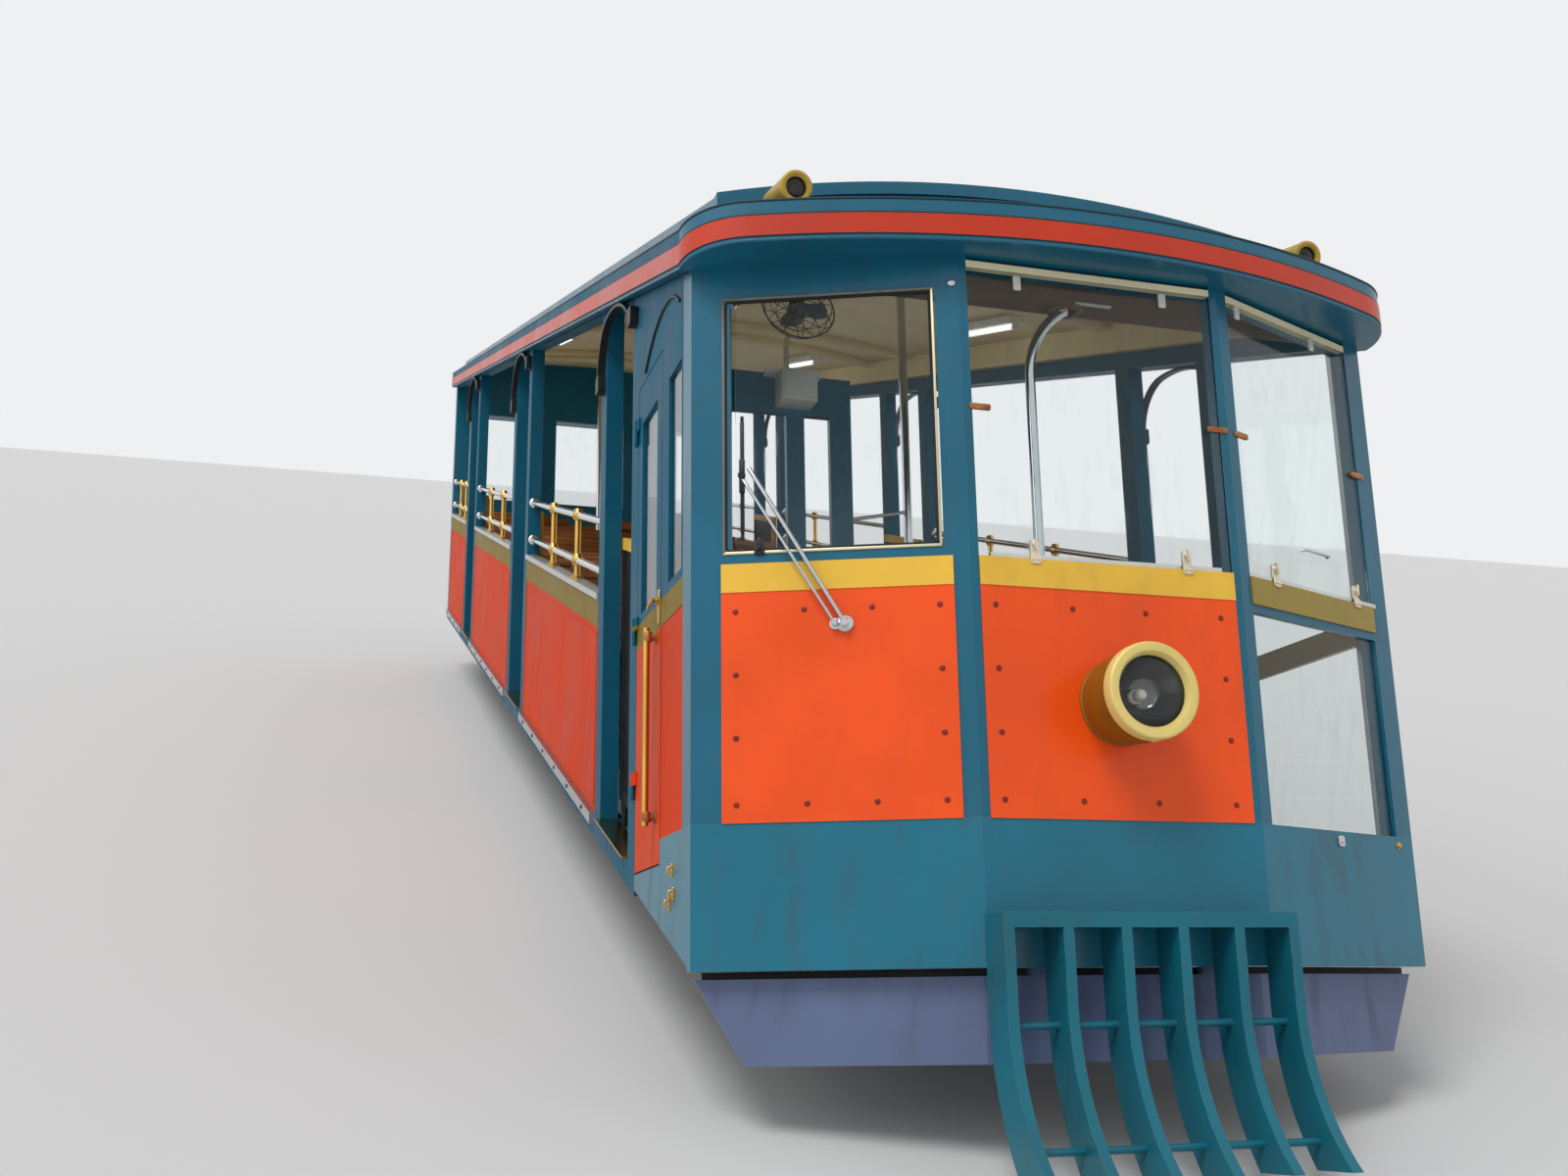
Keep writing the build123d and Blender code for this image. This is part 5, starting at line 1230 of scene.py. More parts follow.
@dataclass
class PanelScrews(SubAssembly):
    """Countersunk screws round the red panels of the front."""

    radius: float = 0.0095
    height: float = 0.0018
    face: float = 0.004
    rows: tuple[float, ...] = (1.060, 0.865, 0.673, 0.475)
    columns: dict[Facet, tuple[float, ...]] = field(default_factory=lambda: {
        Facet.LEFT: (0.138, 0.347, 0.553, 0.756), Facet.CENTRE: (0.074, 0.328, 0.576, 0.839)})

    def build(self) -> None:
        """Set a screw at each place of the panels' edges."""
        for facet, columns in self.columns.items():
            places = [facet.frame() @ at(column, row, self.face)
                      for i, column in enumerate(columns) for j, row in enumerate(self.rows)
                      if i in (0, 3) or j in (0, 3)]
            name = f"{facet.name.lower()}_panel_screws"
            self.keep(Shop.repeat(name, screw(self.radius, self.height), places), SCREW_RED)


@dataclass
class SheetFittings(SubAssembly):
    """What holds the clear sheets of the centre and right facets."""

    feet: dict[Facet, tuple[float, ...]] = field(default_factory=lambda: {
        Facet.CENTRE: (0.212, 0.734), Facet.RIGHT: (0.188, 0.658)})
    sides: dict[Facet, tuple[float, ...]] = field(default_factory=lambda: {
        Facet.CENTRE: (0.053, 0.886), Facet.RIGHT: (0.069, 0.754)})
    tabs: dict[Facet, tuple[float, ...]] = field(default_factory=lambda: {
        Facet.CENTRE: (0.202, 0.721), Facet.RIGHT: (0.111, 0.547)})
    tab_height: dict[Facet, float] = field(default_factory=lambda: {Facet.CENTRE: 2.125, Facet.RIGHT: 2.138})
    foot_height: float = 1.235
    side_height: float = 1.692
    channels: dict[Facet, Pair] = field(default_factory=lambda: {
        Facet.CENTRE: (0.066, 0.860), Facet.RIGHT: (0.052, 0.786)})

    def build(self) -> None:
        """Build foot clamps, side clamps, tabs, foot channels and the stay rod."""
        self.everywhere("sheet_foot_clamps", self.foot_clamp(), self.feet, lambda facet: self.foot_height, CLAMP_METAL)
        self.everywhere("sheet_side_clamps", self.side_clamp(), self.sides, lambda facet: self.side_height, RUSTY_BRASS)
        self.everywhere("sheet_tabs", self.tab(), self.tabs, lambda facet: self.tab_height[facet], WHITE_PLASTIC)
        bars = []
        for facet, (first, last) in self.channels.items():
            bar = Shop.box("channel", (first, 1.2105, -0.0145), (last, 1.226, 0.0025), 0.0022)
            bars.append(Shop.lay(bar, facet.frame()))
        self.keep(Shop.join("sheet_foot_channels", bars), ALUMINIUM)
        rod = Shop.tube("sheet_stay_rod", [(0.366, 1.351, -0.004), (0.373, 1.351, 0.010), (0.507, 1.351, 0.010),
                                           (0.514, 1.351, -0.004)], 0.0045)
        self.keep(Shop.lay(rod, Facet.RIGHT.frame()), BRIGHT_STEEL)

    def everywhere(self, name: str, pattern: Piece, places: dict[Facet, tuple[float, ...]],
                   height: Callable[[Facet], float], finish: Finish) -> None:
        """Copy a fitting to its places on the facets.

        Args:
            name: name of the finished piece.
            pattern: the modelled fitting, about its own middle.
            places: its places along each facet.
            height: gives its height on a facet.
            finish: its finish.
        """
        frames = [facet.frame() @ at(place, height(facet)) for facet, row in places.items() for place in row]
        self.keep(Shop.repeat(name, pattern, frames), finish)

    @staticmethod
    def foot_clamp() -> Piece:
        """Model a folded clamp that grips the sheet's foot on the belt.

        Returns:
            The clamp, about the sheet's foot.
        """
        leaf = Shop.plate("clamp", rounded((-0.015, -0.014), (0.015, 0.038), 0.010), -0.004, 0.006, 0.0022)
        foot = Shop.plate("clamp", rounded((-0.018, -0.040), (0.018, -0.008), 0.008), 0.0065, 0.0125, 0.0022)
        heads = [Shop.lay(screw(0.011, 0.008), at(0, 0.022, 0.006))]
        heads += [Shop.lay(screw(0.0065, 0.004), at(x, -0.025, 0.0125)) for x in (-0.009, 0.009)]
        wing = Shop.box("clamp", (-0.004, 0.002, 0.006), (0.004, 0.040, 0.019), 0.0022)
        return Shop.join("clamp", [leaf, foot, wing, *heads])

    @staticmethod
    def side_clamp() -> Piece:
        """Model a narrow strap clamp with two screws.

        Returns:
            The clamp, about its middle.
        """
        strap = Shop.plate("strap", rounded((-0.036, -0.010), (0.036, 0.010), 0.006), -0.004, 0.006, 0.002)
        heads = [Shop.lay(screw(0.0066, 0.0034), at(x, 0, 0.006)) for x in (-0.022, 0.022)]
        return Shop.join("strap", [strap, *heads])

    @staticmethod
    def tab() -> Piece:
        """Model a small tab under the top rail."""
        leaf = Shop.plate("tab", rounded((-0.0125, -0.022), (0.0125, 0.026), 0.005), -0.004, 0.003, 0.001)
        return Shop.join("tab", [leaf, Shop.lay(screw(0.006, 0.003), at(0, -0.008, 0.003))])


@dataclass
class CabWindow(SubAssembly):
    """Trim, gasket, latch and corner screw of the cab's front window."""

    trim_low: Pair = (0.099, 1.242)
    trim_high: Pair = (0.771, 2.093)
    trim_width: float = 0.0085
    trim_depth: Pair = (-0.017, 0.005)
    low: Pair = (0.111, 1.254)
    high: Pair = (0.759, 2.081)
    radius: float = 0.012
    seal: float = 0.0055

    def build(self) -> None:
        """Build the trim, the rubber gasket, the latch on the lower trim and the corner's screw."""
        (x0, y0), (x1, y1), wide = self.trim_low, self.trim_high, self.trim_width
        outer = [(x0, y0), (x1, y0), (x1, y1), (x0, y1)]
        inner = [(x0 + wide, y0 + wide), (x1 - wide, y0 + wide), (x1 - wide, y1 - wide), (x0 + wide, y1 - wide)]
        mitred = [[outer[i], outer[(i + 1) % 4], inner[(i + 1) % 4], inner[i]] for i in range(4)]
        bars = [Shop.plate("bar", outline, *self.trim_depth, 0.0012) for outline in mitred]
        # The bottom and right bars are bright; the top and left bars take the darker trim as painted shade and dark
        # reflection.
        for name, pair, finish in (("cab_window_bars", bars[:2], TRIM_METAL),
                                   ("cab_window_shaded_bars", bars[2:], SHADED_TRIM)):
            self.fit(name, pair, Facet.LEFT.frame(), finish, "cab_window_trim")
        path = [(x, y, -0.004) for x, y in rounded(self.low, self.high, self.radius, 6)]
        gasket = Shop.tube("cab_window_gasket", path, self.seal, closed=True, sides=2)
        self.keep(Shop.lay(gasket, Facet.LEFT.frame()), RUBBER)
        latch = [Shop.plate("latch", rounded((0.197, 1.238), (0.229, 1.262), 0.005), 0.004, 0.009, 0.0015),
                 Shop.plate("latch", rounded((0.205, 1.250), (0.221, 1.290), 0.005), 0.0085, 0.0135, 0.0018),
                 Shop.lay(screw(0.005, 0.0028), at(0.213, 1.257, 0.0135))]
        self.fit("cab_window_latch", latch, Facet.LEFT.frame(), BLACK)
        cap = Shop.lay(screw(0.013, 0.008, 20), Facet.LEFT.frame() @ at(0.831, 2.104, 0))
        self.keep(Shop.name(cap, "corner_cap_screw"), BRIGHT_STEEL)


@dataclass
class Wiper(SubAssembly):
    """Wiper of the cab window: hub, two parallel arms and the blade."""

    pivot: Pair = (0.470, 1.011)
    tip: Pair = (0.184, 1.513)
    spread: tuple[Pair, Pair] = ((-0.030, 0.0), (-0.022, -0.030))
    blade_place: float = 0.162
    blade: Pair = (1.290, 1.690)
    face: float = 0.004

    def build(self) -> None:
        """Build the pieces on the left facet."""
        place = Facet.LEFT.frame()
        hub = Shop.turned("hub", [(0, 0), (0.026, 0), (0.026, 0.010), (0.022, 0.014), (0.015, 0.016), (0.015, 0.030),
                                  (0.011, 0.034), (0, 0.034)], 28)
        second = Shop.turned("hub", [(0, 0), (0.011, 0), (0.011, 0.026), (0.007, 0.030), (0, 0.030)], 20)
        x, y = self.pivot
        base = rounded((x - 0.046, y - 0.017), (x + 0.018, y + 0.017), 0.014)
        hubs = [Shop.lay(hub, at(x, y, self.face)), Shop.lay(second, at(x + self.spread[0][0], y, self.face)),
                Shop.plate("hub", base, 0.003, 0.010, 0.002)]
        self.fit("wiper_hub", hubs, place, CHROME, "wiper")
        arms = [self.arm(self.pivot, self.tip, 0.0068),
                self.arm(tuple(a + b for a, b in zip(self.pivot, self.spread[0])),
                         tuple(a + b for a, b in zip(self.tip, self.spread[1])), 0.0052)]
        self.fit("wiper_arms", arms, place, BRIGHT_STEEL, "wiper")
        middle = sum(self.blade) / 2
        spine = Shop.box("spine", (self.blade_place - 0.0065, self.blade[0] + 0.02, 0.004),
                         (self.blade_place + 0.0065, self.blade[1] - 0.02, 0.011), 0.002)
        yoke = Shop.box("yoke", (self.blade_place - 0.009, middle - 0.055, 0.009),
                        (self.blade_place + 0.009, middle + 0.055, 0.020), 0.003)
        knob = Shop.lay(Shop.turned("knob", [(0, 0), (0.012, 0), (0.012, 0.008), (0.008, 0.011), (0, 0.011)], 20),
                        at(self.blade_place, middle, 0.019))
        self.fit("wiper_blade", [spine, yoke, knob], place, BLACK, "wiper")
        lip = Shop.plate("wiper_rubber", [(-0.0055, 0.006), (0.0055, 0.006), (0.0045, 0.001), (0.0012, -0.0005),
                                          (0.0009, -0.0055), (-0.0009, -0.0055), (-0.0012, -0.0005), (-0.0045, 0.001)],
                         self.blade[0], self.blade[1])
        turn = Matrix(((1, 0, 0, self.blade_place), (0, 0, 1, 0), (0, 1, 0, 0), (0, 0, 0, 1)))
        self.keep(Shop.lay(lip, place @ turn), RUBBER, "wiper")

    def arm(self, start: Sequence[float], end: Sequence[float], radius: float) -> Piece:
        """Model one arm, cranked where it leaves its hub.

        Args:
            start: place of its hub.
            end: place of its tip.
            radius: half its thickness.

        Returns:
            The arm.
        """
        near = [a + (b - a) * 0.12 for a, b in zip(start, end)]
        far = [a + (b - a) * 0.92 for a, b in zip(start, end)]
        return Shop.tube("arm", [(*start, self.face + 0.024), (*near, self.face + 0.026),
                                 (*far, self.face + 0.020), (*end, self.face + 0.014)], radius, smooth_path=True)


@dataclass
class Headlamp(SubAssembly):
    """The large headlamp on the centre panel: barrel, ring, bowl, bulb and lens."""

    place: Point = (0.463, 0.775, 0.004)
    reach: float = 0.222
    steps: int = 72

    def build(self) -> None:
        """Build the lamp on the centre facet."""
        place = Facet.CENTRE.frame() @ at(*self.place)
        barrel = Shop.turned("headlamp_barrel", [
            (0, 0), (0.132, 0), (0.132, 0.008), (0.128, 0.012), (0.130, 0.030), (0.1365, 0.060), (0.140, 0.097),
            (0.1395, 0.140), (0.138, 0.176), (0.120, 0.178), (0.112, 0.160), (0.085, 0.110), (0.050, 0.075),
            (0, 0.066)], self.steps)
        rivets = [spin(30 + 60 * i, "Z") @ at(0.1395, 0, 0.152) @ spin(90, "Y") for i in range(6)]
        studs = Shop.repeat("studs", screw(0.0045, 0.0028, 10), rivets)
        self.fit("headlamp_barrel", [barrel, studs], place, GOLD_LAMP, "headlamp")
        ring = Shop.turned("headlamp_ring", [
            (0.137, 0.176), (0.1435, 0.177), (0.145, 0.181), (0.145, 0.212), (0.1435, 0.2185), (0.139, 0.2215),
            (0.120, self.reach), (0.1165, 0.2205), (0.1095, 0.2085), (0.1065, 0.2035), (0.1065, 0.196),
            (0.118, 0.190), (0.118, 0.178), (0.137, 0.176)], self.steps)
        lug = Shop.box("lug", (-0.009, -0.1475, 0.184), (0.009, -0.138, 0.200), 0.003)
        self.fit("headlamp_ring", [ring, lug], place, GOLD_RING, "headlamp")
        bowl = Shop.turned("headlamp_bowl", [
            (0.022, 0.092), (0.040, 0.096), (0.066, 0.116), (0.088, 0.146), (0.104, 0.186), (0.106, 0.196),
            (0.109, 0.196), (0.107, 0.184), (0.091, 0.143), (0.068, 0.112), (0.041, 0.091), (0.022, 0.087),
            (0.022, 0.092)], self.steps)
        self.keep(Shop.lay(bowl, place), LAMP_BOWL, "headlamp")
        bulb = Shop.turned("headlamp_bulb", [
            (0, 0.080), (0.022, 0.080), (0.022, 0.104), (0.014, 0.108), (0.014, 0.114), (0.019, 0.126),
            (0.019, 0.136), (0.012, 0.148), (0, 0.152)], 28)
        self.keep(Shop.lay(bulb, place), WHITE_PLASTIC, "headlamp")
        top = self.reach - 0.016
        lens = Shop.turned("headlamp_glass", [
            (0, top + 0.014), (0.040, top + 0.0115), (0.075, top + 0.006), (0.1062, top - 0.004),
            (0.1062, top - 0.009), (0.075, top + 0.001), (0.040, top + 0.0065), (0, top + 0.009)], self.steps)
        self.keep(Shop.lay(lens, place), LENS_GLASS, "headlamp_lens")


@dataclass
class Visor(SubAssembly):
    """Beads, soffit boards and lamps of the roof visor; the dark teal beads and the brown boards are painted shade."""

    half: float = 1.290
    nose: float = 0.465
    corner: float = 0.260
    beads: dict[str, Pair] = field(default_factory=lambda: {
        "fascia_lip": (2.2055, 0.0055), "stripe_lower_bead": (2.2195, 0.0032), "stripe_upper_bead": (2.2915, 0.0040),
        "fascia_top_bead": (2.340, 0.0042)})
    lamps: Pair = (-0.975, 0.880)

    def edge(self, inset: float, height: float, steps: int = 18) -> list[Vector]:
        """Points of the visor's edge from the right side round the nose to the left side.

        Args:
            inset: distance inside the edge.
            height: height up the posts.
            steps: points of each arc.

        Returns:
            The points in the shared frame.
        """
        reach = self.half - self.corner
        radius = (reach**2 + self.nose**2 - self.corner**2) / (2 * (self.nose - self.corner))
        centre = radius - self.nose
        turn = math.atan2(-centre, reach)
        plan = [(reach + (self.corner - inset) * math.cos(turn * i / steps),
                 (self.corner - inset) * math.sin(turn * i / steps)) for i in range(steps)]
        swing = math.pi + 2 * turn
        plan += [((radius - inset) * math.cos(turn - swing * i / (2 * steps)),
                  centre + (radius - inset) * math.sin(turn - swing * i / (2 * steps))) for i in range(steps + 1)]
        plan += [(-x, y) for x, y in reversed(plan[:-1])]
        return [body_frame() @ Vector((x, y, height)) for x, y in plan]

    def build(self) -> None:
        """Build the beads, the boards under the visor and the lamps' inside, with painted shade on the dark beads and
        the boards.
        """
        _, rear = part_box("eaves")
        for name, (height, radius) in self.beads.items():
            inset = radius - 0.0035
            path = self.edge(inset, height)
            first, last = path[0], path[-1]
            end = rear[1] - (rear[2] - first.z) * SLOPE - 0.003
            path = [Vector((first.x, end, first.z)), *path, Vector((last.x, end, last.z))]
            bead = Shop.tube(name, [tuple(point) for point in path], radius, sides=2)
            # The beads are dark teal as painted shadow in the gaps along the stripe and the fascia; the lip keeps the
            # visor's teal.
            self.keep(bead, SHADOW_LINE_TEAL if "bead" in name else VISOR_TEAL)
        # The soffit board and the pole's rose cover are brown as painted shade under the visor.
        board = Shop.plate("soffit_board", [(-1.083, 0.0), (-0.450, -0.265), (0.450, -0.265), (1.083, 0.0)],
                           2.1925, 2.2005, 0.002)
        self.keep(Shop.lay(board, body_frame()), SHADED_BOARD)
        rose = Shop.turned("pole_rose_cover", [
            (0.034, 2.1775), (0.052, 2.1775), (0.060, 2.182), (0.062, 2.190), (0.062, 2.1935), (0.0545, 2.1935),
            (0.0545, 2.1815), (0.034, 2.1805), (0.034, 2.1775)], 40)
        self.keep(Shop.lay(rose, body_frame() @ at(0.044, -0.056, 0)), SHADED_BOARD)
        strip = Shop.box("soffit_strip", (0.053, -0.122, 2.187), (0.189, -0.104, 2.1935), 0.003)
        self.keep(Shop.lay(strip, body_frame()), WHITE_PLASTIC)
        self.roof_lamps()

    def roof_lamps(self) -> None:
        """Set a bowl and a domed glass into the mouth of each roof lamp, with a rim round them."""
        tilt = spin(105, "X")
        places = [body_frame() @ at(x, -0.270, 2.397) @ tilt for x in self.lamps]
        glass = Shop.turned("roof_lamp_glass", [
            (0, -0.002), (0.018, -0.0035), (0.0335, -0.009), (0.0335, -0.012), (0.018, -0.0065), (0, -0.005)], 32)
        self.keep(Shop.repeat("roof_lamp_glass", glass, places), LENS_GLASS)
        bowl = Shop.turned("roof_lamp_bowl", [
            (0, -0.036), (0.012, -0.035), (0.024, -0.026), (0.0335, -0.012), (0.0335, -0.039), (0, -0.039)], 32)
        self.keep(Shop.repeat("roof_lamp_bowl", bowl, places), ROOF_BOWL)
        rim = Shop.turned("roof_lamp_rim", [
            (0.034, -0.006), (0.040, 0.003), (0.048, 0.004), (0.0535, 0.0), (0.0535, -0.008), (0.050, -0.010),
            (0.034, -0.006)], 40)
        self.keep(Shop.repeat("roof_lamp_rim", rim, places), ROOF_GOLD)


@dataclass
class SkirtGapShade(SubAssembly):
    """Dark strip behind the gap between the front skirt and the valance: painted shade that darkens the gap."""

    front: float = 0.0745
    back: float = 0.0825
    reach: float = 1.200
    low: float = -0.040
    high: float = -0.001

    def build(self) -> None:
        """Build the strip along the three facets."""
        slant = math.atan2(BOW, HALF - FOLD_X)
        rows = []
        for inset in (self.front, self.back):
            fold = (FOLD_X - inset * math.tan(slant / 2), inset - BOW)
            end = (self.reach, (self.reach - fold[0]) * math.tan(slant) + fold[1])
            rows.append([(-end[0], end[1]), (-fold[0], fold[1]), fold, end])
        strip = Shop.plate("skirt_gap_shade", [*rows[0], *reversed(rows[1])], self.low, self.high, 0.0015)
        # The strip is dressed in dark rubber as painted shade seen through the gap.
        self.keep(Shop.lay(strip, body_frame()), RUBBER)


@dataclass
class SideFittings(SubAssembly):
    """Flanges, clamps, beads, bolts and lamps along both sides."""

    rails: Pair = (0.995, 1.200)
    sill: float = 0.915

    def bays(self) -> list[Pair]:
        """Start and end of each bay along the track, at the foot of its posts."""
        starts = [POST_TRACK + MODULE * i for i in range(DOORWAYS)]
        return [(start + DOOR_PITCH + POST_WIDTH, end) for start, end in zip(starts, [*starts[1:], REAR_INNER])]

    def sides(self) -> Iterator[tuple[Side, float, float]]:
        """Every bay of the left side and then of the right side, with its start and end."""
        return ((side, start, end) for side in Side for start, end in self.bays())

    @staticmethod
    def rail_spot(side: Side, along: float, height: float) -> Matrix:
        """Place on the rails' plane at a height on a leaning line, level in the shared frame."""
        return at(side.value * RAIL_X, FRONT_Y + along + height * SLOPE, SKIRT_Z + height)

    @staticmethod
    def spots(side: Side, along: float, height: float, inset: float) -> Matrix:
        """Frame at a height on a leaning line that starts at a place along the track."""
        return side.track_frame(inset) @ at(along + height * SLOPE, height, 0)

    def build(self) -> None:
        """Build the fittings of both sides."""
        self.flanges()
        self.clamps()
        self.beads()
        self.bolts()
        self.door_lamps()

    def flanges(self) -> None:
        """Set a flange where a rail meets a post."""
        flange = Shop.turned("flange", [(0, -0.001), (0.030, -0.001), (0.030, 0.004), (0.027, 0.0065), (0.0225, 0.008),
                                        (0.0215, 0.020), (0.019, 0.023), (0, 0.023)], 28)
        lean = spin(-LEAN_DEGREES, "X")
        places = [self.rail_spot(side, along, height) @ lean @ spin(turn, "X")
                  for side, start, end in self.sides() for height in self.rails
                  for along, turn in ((start, -90), (end, 90))]
        self.keep(Shop.repeat("rail_flanges", flange, places), CHROME)

    def clamps(self) -> None:
        """Set a ball clamp at each crossing of rail and rail post, and a foot under each post."""
        ball = Shop.turned("clamp", [(0, -0.027), (0.0195, -0.027), (0.0205, -0.020), (0.0245, -0.014), (0.0265, 0),
                                     (0.0245, 0.014), (0.0205, 0.020), (0.0195, 0.027), (0, 0.027)], 24)
        foot = Shop.turned("foot", [(0, -0.001), (0.034, -0.001), (0.034, 0.004), (0.030, 0.007), (0.0185, 0.010),
                                    (0.0175, 0.022), (0, 0.022)], 24)
        lean = spin(-LEAN_DEGREES, "X")
        crossings, feet = [], []
        for side, start, end in self.sides():
            third = (end - start) / 3
            for along in (start + third, end - third):
                crossings += [self.rail_spot(side, along, height) @ lean for height in self.rails]
                feet.append(self.rail_spot(side, along, self.sill))
        self.keep(Shop.repeat("rail_clamps", ball, crossings), BRASS)
        self.keep(Shop.repeat("rail_post_feet", foot, feet), BRASS)

    def beads(self) -> None:
        """Run a half-round bead inside the edges of each red side panel."""
        rims = []
        for side, start, end in self.sides():
            corners = [(start + 0.026, 0.094), (end - 0.026, 0.094), (end - 0.026, 0.756), (start + 0.026, 0.756)]
            path = [(along + height * SLOPE, height, 0.0) for along, height in corners]
            rims.append(Shop.lay(Shop.tube("bead", path, 0.005, closed=True, sides=2), side.track_frame(0.002)))
        self.keep(Shop.join("side_panel_beads", rims), SIDE_RED)

    def bolts(self) -> None:
        """Bolt the step strips, and the sills' capping."""
        strips, caps = [], []
        for side, start, end in self.sides():
            count = round((end - start) / 0.4)
            for i in range(count):
                along = start + (i + 0.5) * (end - start) / count
                strips.append(self.spots(side, along, 0.049, -0.022))
                caps.append(self.spots(side, along, 0.9025, -0.008))
        self.keep(Shop.repeat("step_strip_bolts", screw(0.0095, 0.005), strips), FRAME_STEEL)
        self.keep(Shop.repeat("sill_screws", screw(0.0045, 0.0022, 10), caps), BRIGHT_STEEL)

    def door_lamps(self) -> None:
        """Set a small red lamp high on the posts before and behind the rear doorways."""
        lens = Shop.turned("lens", [(0, 0.002), (0.021, 0.002), (0.021, 0.010), (0.017, 0.019), (0.009, 0.0245),
                                    (0, 0.026)], 28)
        base = Shop.turned("base", [(0, -0.001), (0.028, -0.001), (0.028, 0.006), (0.025, 0.010), (0.021, 0.010),
                                    (0.021, 0.003), (0, 0.003)], 28)
        places = [self.spots(side, POST_TRACK + MODULE * i + POST_WIDTH / 2, 1.985, 0.0)
                  for side in Side for i in (1, 2)]
        self.keep(Shop.repeat("door_lamp_lenses", lens, places), RED_LENS)
        self.keep(Shop.repeat("door_lamp_bases", base, places), BLACK)


@dataclass
class CabDoorFittings(SubAssembly):
    """Rail flanges on the cab door, its lock, and the cord guide that arches above it."""

    body: str = "cab_door"
    rail_place: Pair = (0.505, 0.033)
    brackets: Pair = (0.50, 1.10)

    def build(self) -> None:
        """Build the fittings on the door and on the cab side above it."""
        place = Side.LEFT.lean_frame()
        along, off = self.rail_place
        parts = []
        for height in self.brackets:
            disc = Shop.turned("disc", [(0, -0.001), (0.021, -0.001), (0.021, 0.003), (0.017, 0.006), (0.0125, 0.008),
                                        (0.0125, 0.020), (0, 0.020)], 24)
            parts.append(Shop.lay(disc, at(along, height, 0)))
            collar = Shop.turned("collar", [(0, -0.017), (0.014, -0.017), (0.0155, -0.012), (0.0155, 0.012),
                                            (0.014, 0.017), (0, 0.017)], 24)
            parts.append(Shop.lay(collar, at(along, height, off - 0.0046) @ spin(90, "X")))
        self.fit("door_rail_flanges", parts, place, RUSTY_BRASS)
        lock = [Shop.plate("lock", rounded((0.446, 1.135), (0.478, 1.255), 0.010), -0.002, 0.004, 0.0015),
                Shop.lay(Shop.turned("lock", [(0, 0.002), (0.013, 0.002), (0.013, 0.010), (0.007, 0.014),
                                              (0.007, 0.024), (0.010, 0.028), (0, 0.030)], 20), at(0.462, 1.215)),
                Shop.tube("lock", [(0.462, 1.215, 0.026), (0.470, 1.213, 0.027), (0.530, 1.205, 0.026)], 0.0055)]
        self.fit("door_lock", lock, place, BRASS)
        points = [(0.154, 2.165), (0.245, 2.222), (0.364, 2.248), (0.486, 2.239), (0.613, 2.195), (0.716, 2.133)]
        guide = Shop.tube("cab_side_guide", [(x, y, 0.003) for x, y in points], 0.0055, smooth_path=True)
        self.keep(Shop.lay(guide, place), BLACK, body=CAR_BODY)


@dataclass
class CabSideFittings(SubAssembly):
    """Small fittings of the front and side skirts."""

    def build(self) -> None:
        """Build the latch, the bolt head and the hooks."""
        right = Facet.RIGHT.frame()
        latch = [Shop.plate("latch", rounded((0.404, 0.372), (0.438, 0.408), 0.008), -0.001, 0.006, 0.002),
                 Shop.lay(screw(0.007, 0.004), at(0.421, 0.390, 0.006))]
        self.fit("skirt_latch", latch, right, BRIGHT_STEEL)
        self.keep(Shop.lay(bolt(0.009, 0.008), right @ at(0.765, 0.393, 0)), BRASS)
        left = Side.LEFT.lean_frame()
        spots = [left @ at(x, y, 0) for x, y in ((0.241, 0.309), (0.226, 0.237), (0.280, 0.211))]
        hook = Shop.join("hook", [
            Shop.plate("hook", rounded((-0.014, -0.022), (0.014, 0.022), 0.006), -0.001, 0.004, 0.0012),
            Shop.tube("hook", [(0, 0.010, 0.002), (0, 0.008, 0.014), (0, -0.006, 0.016), (0, -0.010, 0.003)], 0.004)])
        self.keep(Shop.repeat("skirt_hooks", hook, spots), BRASS)


